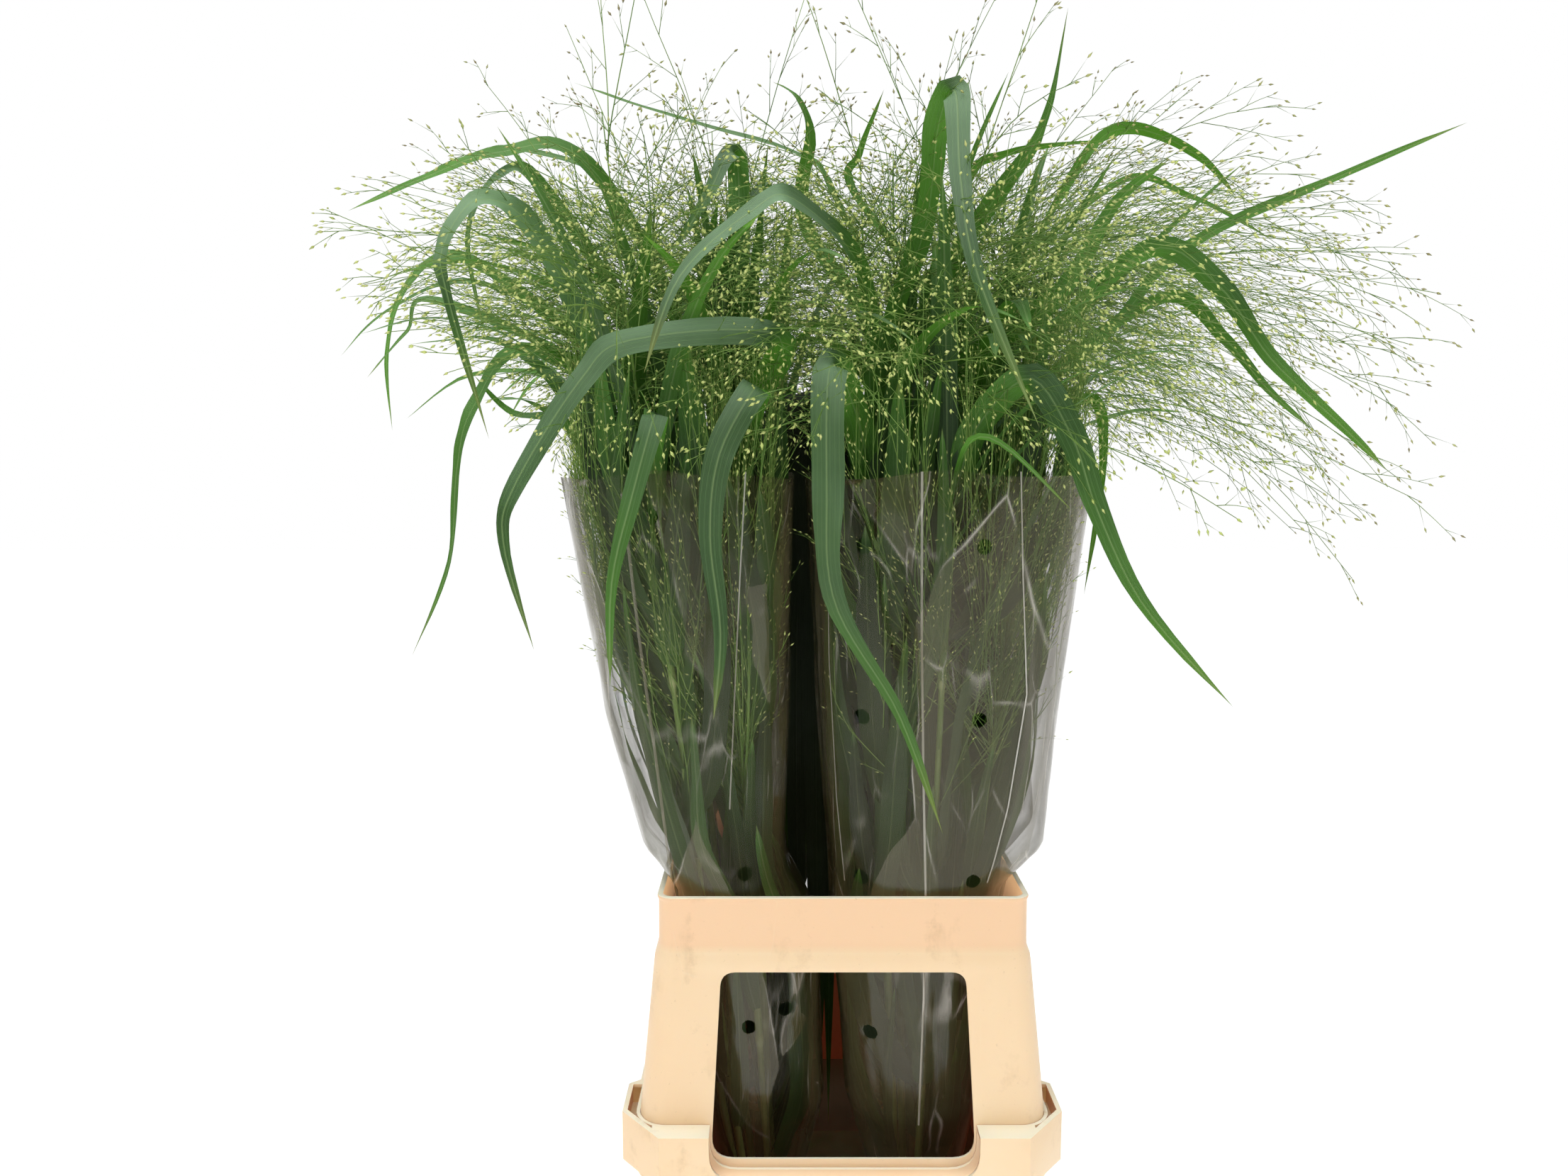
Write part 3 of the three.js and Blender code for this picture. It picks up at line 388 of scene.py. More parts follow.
# Distance of the stems from the bunch's middle at the foot, their share of the sleeve's half size at its top,
# the height up to which they stand straight, and the power of the sleeve's section
CLUSTER = 14
SPREAD = 0.56
UPRIGHT = 100
GAP = 0.3
FILM_POWER = 3

# How far out and up a leaf leaves its stem, how close its samples lie, and the room that growth keeps free
LEAVE = (7, 9)
LEAF_STEP = 5
LEAF_REACH = 3.6
LEAF_FILM_ROOM = 4
CULM_REACH = 4.2
TWIG_REACH = 3

# The part of a leaf's samples that counts as its root, and the radii of a stem at its foot and top
ROOT_SHARE = 0.3
CULM = (3.1, 1.7)
SHEATH = {"step": 4, "thick": 0.9, "length": 100, "end": 0.1}
KNOTS = (240, 520)
AXIS_LENGTH = (170, 14)

BUNCHES = {
    "front_left": {
        "sleeve": [
            [100, -88, -34, -116, -56], [200, -106, -10, -150, -8], [325, -118, -14, -156, -8],
            [377, -125.6, -38, -165, -8], [402, -146, -40, -168, -8], [500, -171, -36, -178, -8],
            [669, -198, -33, -190, -6],
        ],
        "tops": [720, 735, 700, 690, 425],
        "turn": 0.5,
    },
    "front_right": {
        "sleeve": [
            [100, 34, 88, -116, -56], [200, 5, 106, -150, -8], [325, -6, 118, -156, -8],
            [377, -8, 125.6, -165, -8], [402, -10, 150, -168, -8], [500, -18, 158, -178, -8],
            [669, -27, 177, -190, -6],
        ],
        "tops": [735, 720, 700, 705, 450],
        "turn": 0.9,
    },
    "back_left": {
        "sleeve": [
            [100, -88, -34, 56, 116], [200, -106, -8, 8, 150], [325, -118, -8, 8, 156],
            [377, -125.6, -6, 8, 165], [402, -144, -6, 8, 170], [500, -165, -6, 8, 182],
            [669, -190, -6, 6, 196],
        ],
        "tops": [740, 750, 715, 730],
        "turn": 0.2,
    },
    "back_right": {
        "sleeve": [
            [100, 34, 88, 56, 116], [200, 8, 106, 8, 150], [325, 8, 118, 8, 156],
            [377, 6, 125.6, 8, 165], [402, 6, 146, 8, 170], [500, 6, 166, 8, 182],
            [669, 6, 190, 6, 196],
        ],
        "tops": [750, 740, 730, 715],
        "turn": 0.7,
    },
}

# The large leaves: tone (0 sage, 0.5 deep, 1 bright), stem, height of the root, width, roll at root and
# tip, and the route of the blade's middle after it leaves the stem
LARGE_LEAVES = [
    (0.5, "front_right_1", 640, 14, 60, 35,
     [[200, -60, 770], [260, -55, 835], [380, -40, 890], [475, -30, 930]]),
    (0.45, "front_right_2", 665, 18, 20, 60,
     [[95, -70, 840], [135, -70, 895], [150, -75, 930], [160, -80, 995]]),
    (0.0, "front_right_3", 650, 20, 60, 0,
     [[55, -110, 835], [58, -122, 890], [66, -140, 905], [65, -175, 845], [72, -200, 785], [105, -225, 695]]),
    (0.1, "front_right_3", 660, 18, 70, 20,
     [[10, -130, 800], [-35, -180, 830], [-60, -195, 820], [-100, -215, 780], [-120, -225, 725]]),
    (0.1, "front_left_3", 640, 18, 60, 20,
     [[-210, -130, 830], [-240, -150, 845], [-259, -168, 812], [-255, -175, 780], [-230, -180, 690]]),
    (0.2, "back_left_3", 650, 14, 40, 40,
     [[-240, 30, 900], [-270, 15, 900], [-286, -15, 850], [-270, -30, 765]]),
    (0.75, "back_left_2", 650, 16, 50, 30,
     [[-205, 60, 920], [-270, 60, 920], [-330, 60, 900], [-390, 60, 875]]),
    (0.2, "back_left_1", 670, 12, 50, 40,
     [[-185, 90, 890], [-210, 100, 935], [-280, 100, 955], [-310, 100, 955]]),
    (0.35, "back_right_2", 670, 15, 70, 55,
     [[0, 120, 915], [-30, 120, 945], [-150, 120, 980], [-225, 120, 1005]]),
    (1.0, "back_right_3", 660, 16, 20, 60, [[-25, 60, 875], [-20, 50, 940], [-30, 30, 965], [-50, 20, 975]]),
    (0.95, "back_right_1", 670, 14, 50, 50, [[18, 60, 900], [22, 60, 930], [40, 40, 975]]),
    (0.2, "front_left_1", 650, 16, 0, 0,
     [[-75, -60, 890], [-82, -90, 895], [-95, -120, 860], [-120, -140, 815]]),
    (0.3, "front_left_2", 655, 12, 30, 30, [[-55, -40, 885], [-70, -60, 865], [-85, -65, 845]]),
    (0.15, "front_left_1", 645, 19, 20, 20,
     [[-45, -190, 755], [-135, -215, 750], [-165, -225, 725], [-205, -235, 660], [-212, -235, 625],
      [-195, -235, 560]]),
    (0.8, "back_left_4", 625, 15, 30, 50,
     [[-235, -40, 760], [-270, -75, 715], [-282, -80, 670], [-290, -80, 600], [-320, -80, 530]]),
    (0.4, "front_left_4", 650, 16, 0, 20,
     [[-122, -205, 705], [-135, -220, 655], [-148, -225, 600], [-150, -225, 535]]),
    (0.3, "front_left_1", 665, 19, 0, 0,
     [[-58, -215, 722], [-80, -235, 680], [-86, -235, 630], [-80, -235, 570], [-85, -230, 515]]),
    (0.35, "front_right_3", 655, 22, 0, 50,
     [[-12, -215, 735], [-15, -235, 660], [-10, -240, 590], [30, -235, 520], [60, -225, 440]]),
    (0.3, "front_right_4", 655, 20, 0, 45,
     [[115, -195, 728], [140, -208, 690], [155, -215, 645], [185, -220, 585], [245, -215, 520]]),
    (0.45, "front_right_1", 650, 16, 30, 50,
     [[210, -120, 820], [255, -132, 795], [290, -140, 745], [340, -140, 700], [370, -145, 670]]),
    (0.7, "back_right_4", 645, 12, 40, 40,
     [[250, -30, 800], [292, -42, 770], [325, -50, 730], [360, -50, 700]]),
    (0.95, "back_right_1", 660, 14, 60, 45, [[205, 40, 922], [240, 28, 941], [290, 20, 918], [320, 15, 885]]),
    (0.4, "front_right_2", 655, 18, 10, 40, [[150, -105, 790], [185, -115, 850], [215, -130, 875]]),
    (0.6, "back_right_4", 655, 10, 30, 50, [[235, 35, 825], [285, 28, 875], [330, 20, 915]]),
    (0.8, "back_right_3", 640, 10, 60, 60, [[235, 60, 905], [300, 55, 897], [370, 50, 860]]),
    (0.3, "back_right_2", 650, 15, 40, 70, [[105, 30, 895], [140, 30, 920], [220, 30, 930]]),
    (0.85, "back_left_3", 630, 12, 40, 40,
     [[-300, 40, 840], [-345, 25, 820], [-360, 10, 765], [-355, 0, 700]]),
    (0.5, "back_left_4", 620, 10, 40, 50, [[-310, -10, 800], [-335, -20, 775], [-365, -25, 740]]),
    (0.6, "back_left_2", 640, 9, 50, 50, [[-295, 70, 825], [-375, 70, 805], [-420, 70, 765]]),
    (0.3, "front_left_2", 620, 14, 60, 60, [[-205, -120, 705], [-245, -125, 712], [-275, -110, 740]]),
    (0.9, "back_right_4", 620, 12, 30, 40, [[200, -10, 725], [210, -20, 675], [198, -20, 570]]),
    (0.6, "front_right_4", 640, 8, 60, 40, [[80, -198, 690], [100, -205, 684], [140, -210, 645]]),
]
INNER = {
    "per_stem": {"front": 2, "back": 1}, "low": 170, "high": 400, "length": (230, 330), "width": (13, 19),
    "start": 86, "end": (86, 58), "inner": True,
}
OUTER = {
    "per_stem": {"front": 0, "back": 2}, "low": 610, "high": 690, "length": (270, 360), "width": (13, 20),
    "start": 80, "end": (-75, 35), "inner": False,
}
LEAF_ROLL = 50
LEAF_TRIES = 60
LARGE = {"tries": 150, "roots": 5, "lower": 12, "bend": 6, "rise_out": 0.35, "rise_up": 0.6}
ARCH = {"pieces": 5, "ease": 1.3}
BITS = 0xFFFFFFFF


def random_source(seed):
    state = seed & BITS

    def draw():
        nonlocal state
        state = (state + 0x6D2B79F5) & BITS
        value = ((state ^ (state >> 15)) * (state | 1)) & BITS
        value ^= (value + (value ^ (value >> 7)) * (value | 61)) & BITS
        return (value ^ (value >> 14)) / 4294967296

    return draw


def mix(low, high, share):
    return low + (high - low) * share


def between(draw, pair):
    return mix(pair[0], pair[1], draw())


def unit(vectors):
    vectors = np.asarray(vectors, float)
    return vectors / np.linalg.norm(vectors, axis=-1, keepdims=True)


def along(points, share):
    """Points of the curve through the given ones, with share from 0 to 1."""
    last = len(points) - 1
    place = np.minimum(np.asarray(share, float) * last, last - 1e-9)
    i = np.floor(place).astype(int)
    f = (place - i)[..., None]
    p, q, r, s = (points[np.clip(i + k, 0, last)] for k in (-1, 0, 1, 2))
    return 0.5 * (2 * q + (r - p) * f + (2 * p - 5 * q + 4 * r - s) * f * f
                  + (3 * q - p - 3 * r + s) * f * f * f)


def sleeve_at(sleeve, z):
    """Middle and half sizes of a sleeve at a height."""
    i = 0
    while i < len(sleeve) - 2 and z > sleeve[i + 1][0]:
        i += 1
    share = min(max((z - sleeve[i][0]) / (sleeve[i + 1][0] - sleeve[i][0]), 0), 1)
    left, right, front, back = (mix(sleeve[i][k], sleeve[i + 1][k], share) for k in (1, 2, 3, 4))
    return (left + right) / 2, (front + back) / 2, (right - left) / 2, (back - front) / 2


def on_section(angle):
    """Cosine and sine of an angle, and what both are multiplied by to lie on a section of half size 1."""
    c, s = math.cos(angle), math.sin(angle)
    return c, s, (abs(c) ** FILM_POWER + abs(s) ** FILM_POWER) ** (-1 / FILM_POWER)


def culm_point(bunch, number, z):
    angle = bunch["turn"] + number / len(bunch["tops"]) * 2 * math.pi
    fx, fy, _, _ = sleeve_at(bunch["sleeve"], bunch["sleeve"][0][0])
    hx, hy, ha, hb = sleeve_at(bunch["sleeve"], bunch["sleeve"][-1][0])
    rise = max(z - UPRIGHT, 0) / (bunch["sleeve"][-1][0] - UPRIGHT)
    share = rise * (1.15 - 0.15 * rise)
    return np.array([
        mix(fx + CLUSTER * math.cos(angle), hx + SPREAD * ha * math.cos(angle), share),
        mix(fy + CLUSTER * math.sin(angle), hy + SPREAD * hb * math.sin(angle), share),
        z,
    ])


def leaf_width(t):
    return np.minimum(0.15 + 4 * t, 1) * np.minimum(1, (1.02 - t) ** 0.75 * 1.75)


def leaf_frames(leaf, t):
    route = leaf["route"]
    middle = along(route, t)
    tangent = unit(along(route, np.minimum(t + 0.01, 1)) - along(route, np.maximum(t - 0.01, 0)))
    flat = leaf["side"] if leaf.get("side") is not None else np.cross(tangent, [0, -1, 0])
    flat = np.broadcast_to(flat, tangent.shape)
    level = unit(flat - np.sum(flat * tangent, axis=-1, keepdims=True) * tangent)
    roll = np.radians(mix(leaf["roll"][0], leaf["roll"][1], t))[:, None]
    side = level * np.cos(roll) + np.cross(tangent, level) * np.sin(roll)
    return middle, tangent, side, leaf["width"] / 2 * leaf_width(t)


def leaf_samples(leaf, spacing=LEAF_STEP):
    length = np.linalg.norm(np.diff(leaf["route"], axis=0), axis=1).sum()
    steps = math.ceil(length * 1.05 / spacing)
    across = math.ceil(leaf["width"] / spacing)
    middle, _, side, half = leaf_frames(leaf, np.arange(steps + 1) / steps)
    u = 2 * np.arange(across + 1) / across - 1
    spread = middle[:, None] + side[:, None] * (half[:, None] * u)[:, :, None]
    return spread.reshape(-1, 3)


class Room:
    """What grows where, so that a new leaf keeps its distance from the samples of other stems."""

    def __init__(self):
        self.names = {}
        self.points, self.owner, self.stem, self.reach = [], [], [], []
        self.tree = None

    def number(self, name):
        return self.names.setdefault(name, len(self.names))

    def occupy(self, owner, samples, reach):
        self.points.extend(samples)
        self.owner.extend([self.number(owner)] * len(samples))
        self.stem.extend([self.number(owner.split(".")[0])] * len(samples))
        self.reach.extend([reach] * len(samples))
        self.tree = None

    def plant(self):
        self.tree = kdtree.KDTree(len(self.points))
        for i, point in enumerate(self.points):
            self.tree.insert(point, i)
        self.tree.balance()

    def meets(self, owner, samples, reach):
        if self.tree is None:
            self.plant()
        mine, stem = self.number(owner), self.number(owner.split(".")[0])
        most = reach + CULM_REACH + 0.01
        for p in samples:
            for _, i, _ in self.tree.find_range(p, most):
                kin = self.owner[i] == mine or self.stem[i] == mine or self.owner[i] == stem
                if not kin and ((self.points[i] - p) ** 2).sum() < (reach + self.reach[i]) ** 2:
                    return True
        return False


def film_distance(samples, room):
    """Whether a sample lies too near to the film of any sleeve."""
    for bunch in BUNCHES.values():
        sleeve = bunch["sleeve"]
        z = samples[:, 2]
        near = (z <= sleeve[-1][0] + room) & (z >= sleeve[0][0] - room)
        if not near.any():
            continue
        levels = np.array(sleeve, float)
        left, right, front, back = (np.interp(z, levels[:, 0], levels[:, k]) for k in (1, 2, 3, 4))
        dx, dy = samples[:, 0] - (left + right) / 2, samples[:, 1] - (front + back) / 2
        u, v = dx / ((right - left) / 2), dy / ((back - front) / 2)
        rho = (np.abs(u) ** FILM_POWER + np.abs(v) ** FILM_POWER) ** (1 / FILM_POWER)
        if (near & (np.abs(rho - 1) * np.hypot(dx, dy) < room * np.maximum(rho, 0.2))).any():
            return True
    return False


def takes(room, owner, leaf, number):
    """Adds a leaf of the source to the room, unless it would meet something."""
    samples = leaf_samples(leaf)
    root = math.floor(len(samples) * ROOT_SHARE + 0.5)
    blade = samples[root:]
    name = f"{owner}.{number}"
    if film_distance(samples, LEAF_FILM_ROOM):
        return False
    if room.meets(owner, samples, LEAF_REACH) or room.meets(name, blade, LEAF_REACH):
        return False
    room.occupy(owner, samples[:root], LEAF_REACH)
    room.occupy(name, blade, LEAF_REACH)
    return True


def place_large_leaf(room, row, stems):
    tone, owner, height, width, roll_foot, roll_tip, route = row
    first = route[0]
    stem = stems[owner]
    for step in range(LARGE["tries"]):
        low = height - LARGE["lower"] * (step % LARGE["roots"])
        turn = step // LARGE["roots"]
        bend = math.ceil(turn / 2) * LARGE["bend"] * (-1 if turn % 2 else 1)
        root = stem["point"](low)
        away = unit([first[0] - root[0], first[1] - root[1], 0])
        leave = [root[0] + LEAVE[0] * away[0], root[1] + LEAVE[0] * away[1], low + LEAVE[1]]
        rise = [
            mix(root[0], first[0], LARGE["rise_out"]),
            mix(root[1], first[1], LARGE["rise_out"]) + bend / 4,
            mix(low, first[2], LARGE["rise_up"]),
        ]
        bent = [[x, y + bend * min((i + 1) / 2, 1), z] for i, (x, y, z) in enumerate(route)]
        leaf = {"route": np.array([root, leave, rise, *bent], float), "width": width,
                "roll": (roll_foot, roll_tip), "tone": tone}
        if takes(room, owner, leaf, len(stem["leaves"])):
            return leaf
    return None


def arch(root, heading, length, start, end, width, roll):
    out = (math.cos(heading), math.sin(heading))
    route = [list(root), [root[0] + LEAVE[0] * out[0], root[1] + LEAVE[0] * out[1], root[2] + LEAVE[1]]]
    step = length / ARCH["pieces"]
    for i in range(1, ARCH["pieces"] + 1):
        slope = math.radians(mix(start, end, ((i - 0.5) / ARCH["pieces"]) ** ARCH["ease"]))
        x, y, z = route[-1]
        route.append([
            x + out[0] * math.cos(slope) * step,
            y + out[1] * math.cos(slope) * step,
            z + math.sin(slope) * step,
        ])
    return {"route": np.array(route), "width": width, "side": np.array([-out[1], out[0], 0.0]),
            "roll": (0, roll)}


def place_rule_leaf(room, owner, stems, draw, kind):
    stem = stems[owner]
    for step in range(LEAF_TRIES):
        height = between(draw, (kind["low"], min(kind["high"], stem["top"] - 60)))
        root = stem["point"](height)
        if kind["inner"]:
            heading = draw() * 2 * math.pi
        else:
            heading = math.atan2(root[1], root[0]) + (draw() - 0.5) * (2 + step * 0.05)
        end = between(draw, kind["end"])
        length = between(draw, kind["length"])
        width = between(draw, kind["width"])
        leaf = arch(root, heading, length, kind["start"], end, width, (draw() - 0.5) * LEAF_ROLL)
        if takes(room, owner, leaf, len(stem["leaves"])):
            leaf["tone"] = 0.35 + 0.5 * (len(room.points) % 7) / 7
            return leaf
    return None


def stand_stems(room):
    """Every stem with the axis of its panicle."""
    stems = {}
    for name, bunch in BUNCHES.items():
        for number, top in enumerate(bunch["tops"]):
            owner = f"{name}_{number + 1}"

            def point(z, bunch=bunch, number=number):
                return culm_point(bunch, number, z)

            up = unit(point(top) - point(top - 60))
            foot = point(top) + up * (GAP + 0.2)
            length = AXIS_LENGTH[0] + AXIS_LENGTH[1] * number
            stems[owner] = {"bunch": name, "top": top, "point": point, "foot": foot, "up": up,
                            "length": length, "leaves": []}
            room.occupy(owner, [point(i * LEAF_STEP) for i in range(math.ceil(top / LEAF_STEP))], CULM_REACH)
            steps = math.ceil(length / LEAF_STEP)
            room.occupy(f"axis_{owner}", [foot + up * i * LEAF_STEP for i in range(steps)], TWIG_REACH)
    return stems


def owners_of(stems, name):
    """Names of the stems in a bunch."""
    return [owner for owner, stem in stems.items() if stem["bunch"] == name]


def grow_stems():
    """The stems with the leaves of the source, and the room that all of them fill."""
    room = Room()
    stems = stand_stems(room)
    for row in LARGE_LEAVES:
        leaf = place_large_leaf(room, row, stems)
        if leaf:
            stems[row[1]]["leaves"].append(leaf)
    draw = random_source(11)
    for owner, stem in stems.items():
        face = owner.split("_")[0]
        for kind in (INNER, OUTER) if stem["top"] > 600 else (INNER,):
            for _ in range(kind["per_stem"][face]):
                leaf = place_rule_leaf(room, owner, stems, draw, kind)
                if leaf:
                    stem["leaves"].append(leaf)
    return room, stems


# Meshes


class Piece:
    """Collects the vertices and faces of one piece, in millimetres.

    Tone and the age-and-shade number are read by the materials at each vertex. On a leaf, that number is
    above 0 at the dry tip and below 0 where the leaf hangs in the shade, which is painted there as darker
    colour.
    """

    def __init__(self):
        self.co, self.tone, self.age, self.uv = [], [], [], []
        self.faces = {3: [], 4: []}
        self.paint = {3: [], 4: []}
        self.count = 0

    def add(self, co, faces, tone=0.0, age=0.0, uv=None, paint=0):
        co = np.asarray(co, float).reshape(-1, 3)
        faces = np.asarray(faces, int)
        self.co.append(co)
        self.tone.append(np.broadcast_to(np.asarray(tone, float), len(co)))
        self.age.append(np.broadcast_to(np.asarray(age, float), len(co)))
        self.uv.append(np.zeros((len(co), 2)) if uv is None else np.asarray(uv, float).reshape(-1, 2))
        sides = faces.shape[1]
        self.faces[sides].append(faces + self.count)
        self.paint[sides].append(np.full(len(faces), paint))
        self.count += len(co)

    def build(self, name, materials):
        co = np.concatenate(self.co) * MM
        faces, paint, starts, at = [], [], [], 0
        for sides in (3, 4):
            if self.faces[sides]:
                block = np.concatenate(self.faces[sides])
                faces.append(block.ravel())
                paint.append(np.concatenate(self.paint[sides]))
                starts.append(at + np.arange(len(block)) * sides)
                at += block.size
        corners = np.concatenate(faces)
        mesh = bpy.data.meshes.new(name)
        mesh.vertices.add(len(co))
        mesh.vertices.foreach_set("co", co.ravel())
        mesh.loops.add(len(corners))
        mesh.loops.foreach_set("vertex_index", corners.astype(np.int32))
        starts = np.concatenate(starts)
        mesh.polygons.add(len(starts))
        mesh.polygons.foreach_set("loop_start", starts.astype(np.int32))
        mesh.polygons.foreach_set("material_index", np.concatenate(paint).astype(np.int32))
        mesh.update(calc_edges=True)
        mesh.shade_smooth()
        layer = mesh.uv_layers.new(name="UVMap")
        layer.data.foreach_set("uv", np.concatenate(self.uv)[corners].ravel())
        for key, values in (("tone", self.tone), ("age", self.age)):
            attribute = mesh.attributes.new(key, "FLOAT", "POINT")
            attribute.data.foreach_set("value", np.concatenate(values))
        for material in materials:
            mesh.materials.append(material)
        return link(bpy.data.objects.new(name, mesh))


def settle(thing, slot, *nodes):
    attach(thing, "root")
    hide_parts(*nodes)


def tubes(points, radii, sides):
    """Closed tubes along many lines at once. points is lines x steps x 3 and radii is lines x steps."""
    points, radii = np.asarray(points, float), np.asarray(radii, float)
    lines, steps = radii.shape
    tangent = np.gradient(points, axis=1)
    tangent /= np.linalg.norm(tangent, axis=-1, keepdims=True) + 1e-12
    whole = unit(points[:, -1] - points[:, 0])
    lean = np.where(np.abs(whole[:, 2:3]) > 0.8, [[1.0, 0, 0]], [[0, 0, 1.0]])[:, None, :]
    side = unit(np.cross(tangent, np.broadcast_to(lean, tangent.shape)))
    other = np.cross(tangent, side)
    angle = np.arange(sides) / sides * 2 * math.pi
    ring = side[:, :, None] * np.cos(angle)[:, None] + other[:, :, None] * np.sin(angle)[:, None]
    co = points[:, :, None] + ring * radii[:, :, None, None]
    j = np.arange(sides)
    k = (j + 1) % sides
    i = np.arange(steps - 1)[:, None] * sides
    quads = np.stack([i + j, i + k, i + k + sides, i + j + sides], axis=-1).reshape(-1, 4)
    base = (np.arange(lines) * steps * sides)[:, None, None]
    last = (steps - 1) * sides
    caps = [[0, b + 1, b] for b in range(1, sides - 1)]
    caps += [[last, last + b, last + b + 1] for b in range(1, sides - 1)]
    quads, caps = (quads[None] + base).reshape(-1, 4), (np.array(caps)[None] + base).reshape(-1, 3)
    return co.reshape(-1, 3), quads, caps


def add_tubes(piece, points, radii, sides=3, tone=0.0, paint=0):
    """Adds tubes. Tone is one number, or one for each step."""
    co, quads, caps = tubes(points, radii, sides)
    start = piece.count
    piece.add(co, quads, np.repeat(np.broadcast_to(tone, np.shape(radii)).ravel(), sides), paint=paint)
    piece.faces[3].append(caps + start)
    piece.paint[3].append(np.full(len(caps), paint))


def ring_offsets(headings, sides):
    """Corners of a ring of radius 1 round each heading."""
    lean = np.where(np.abs(headings[:, 2:3]) > 0.8, [[1.0, 0, 0]], [[0, 0, 1.0]])
    side = unit(np.cross(headings, lean))
    other = np.cross(headings, side)
    angle = np.arange(sides) / sides * 2 * math.pi
    return side[:, None] * np.cos(angle)[:, None] + other[:, None] * np.sin(angle)[:, None]


def add_spines(piece, lines, radius):
    """Thin three-sided cones from the first to the second point of each line."""
    lines = np.asarray(lines, float)
    foot, tip = lines[:, 0], lines[:, 1]
    heading = unit(tip - foot)
    ring = ring_offsets(heading, 3) * radius
    co = np.concatenate([foot[:, None] + ring, (tip + heading * 0.8)[:, None]], axis=1)
    faces = np.array([[0, 1, 3], [1, 2, 3], [2, 0, 3], [0, 2, 1]])
    piece.add(co, (faces[None] + (np.arange(len(lines)) * 4)[:, None, None]).reshape(-1, 3))


SPIKELET_SIDES = 4


def add_spikelets(piece, tips, heads, length, radius, tone, paint):
    """Teardrops that start at tips and point along heads."""
    tips, heads = np.asarray(tips, float), unit(heads)
    middle = tips + heads * (length * 0.38)[:, None]
    co = np.concatenate([
        tips[:, None] - heads[:, None] * 0.1,
        middle[:, None] + ring_offsets(heads, SPIKELET_SIDES) * radius[:, None, None],
        (tips + heads * length[:, None])[:, None],
    ], axis=1)
    j = np.arange(SPIKELET_SIDES)
    k = (j + 1) % SPIKELET_SIDES
    fan = np.concatenate([
        np.stack([np.zeros_like(j), k + 1, j + 1], axis=-1),
        np.stack([np.full_like(j, SPIKELET_SIDES + 1), j + 1, k + 1], axis=-1),
    ])
    count = SPIKELET_SIDES + 2
    faces = (fan[None] + (np.arange(len(tips)) * count)[:, None, None]).reshape(-1, 3)
    age = np.broadcast_to(np.array([0.2] + [0.0] * SPIKELET_SIDES + [1.0]), (len(tips), count)).ravel()
    tones = np.broadcast_to(np.asarray(tone, float).reshape(-1, 1), (len(tips), count)).ravel()
    piece.add(co, faces, tones, age, paint=paint)


# Leaves and stems

# Shade on leaves that leave their stem below the film's top: its range, and the height where it fades out
SHADE = {"below": 600, "least": 0.15, "range": 0.65, "end": 740, "fade": 60}
BLADE_ACROSS = 8
BLADE_STEP = 9
CULM_SIDES = 10


def add_blade(piece, leaf, draw):
    """One fine blade: a shallow gutter along the middle, edges that wave a little, and a long point."""
    route = leaf["route"]
    length = np.linalg.norm(np.diff(route, axis=0), axis=1).sum()
    steps = max(14, math.ceil(length / BLADE_STEP))
    t = np.linspace(0, 1, steps + 1)
    middle, tangent, side, half = leaf_frames(leaf, t)
    half = half * (1 + 0.03 * np.sin(t * length / 31 + draw() * 6)) * np.clip((1 - t) * 14, 0.02, 1)
    face = np.cross(side, tangent)
    if face[:, 2].mean() < 0:
        face = -face
    u = np.linspace(-1, 1, BLADE_ACROSS + 1)
    fold = (np.abs(u) ** 1.2)[None] * (0.2 * half * (1 - 0.55 * t))[:, None]
    waves = [np.sin(t * length / w * 2 * math.pi + draw() * 6) for w in (52, 71)]
    swing = np.where(u[None] > 0, waves[0][:, None], waves[1][:, None])
    wave = swing * (np.abs(u) ** 2.2)[None] * (0.1 * half)[:, None]
    flat = middle[:, None] + side[:, None] * (half[:, None] * u)[:, :, None]
    co = flat + face[:, None] * (fold + wave)[:, :, None]
    n = BLADE_ACROSS + 1
    i, j = np.meshgrid(np.arange(steps), np.arange(BLADE_ACROSS), indexing="ij")
    a = (i * n + j).ravel()
    faces = np.stack([a, a + 1, a + n + 1, a + n], axis=-1)
    uv = np.stack([np.broadcast_to(half[:, None] * u, co.shape[:2]),
                   np.broadcast_to((t * length)[:, None], co.shape[:2])], axis=-1)
    tone = leaf["tone"] + 0.12 * np.sin(t * 5 + draw() * 6) + 0.75 * (1 - leaf["tone"]) * t ** 3
    dim = leaf.get("dim", 0.0)
    if route[0][2] < SHADE["below"] and "dim" not in leaf:
        dim = SHADE["least"] + SHADE["range"] * (leaf["width"] * 7.3 % 1)
        dim = dim * np.clip((SHADE["end"] - middle[:, 2]) / SHADE["fade"], 0, 1)
    elif dim == 0:
        tone = mix(tone, np.maximum(tone, 0.8), np.clip(tangent[:, 2] * 1.6 + 0.1, 0, 1))
    tone = np.clip(tone, 0, 1)
    dry = np.clip((t - 0.9) * 8, 0, 1)
    # Above 0 the dry tip, below 0 painted shade
    age = dry * (0.3 + 0.7 * draw()) - dim * (1 - dry)
    piece.add(co, faces, np.repeat(tone, n), np.repeat(age, n), uv)


def culm_radius(top, z):
    """Radius of a stem at a height: thinner upwards, with a sheath above each knot."""
    radius = np.interp(z, [3.3, UPRIGHT, top], [CULM[0], CULM[0], CULM[1]])
    for knot in KNOTS:
        if knot < top - SHEATH["length"]:
            rise = z - knot
            steps = [0, SHEATH["step"], SHEATH["length"]]
            extra = np.interp(rise, steps, [0, SHEATH["thick"], SHEATH["end"]])
            radius = np.where((rise > 0) & (rise < SHEATH["length"]), radius + extra, radius)
            radius += 0.7 * np.exp(-(rise / 2.5) ** 2)
    return radius


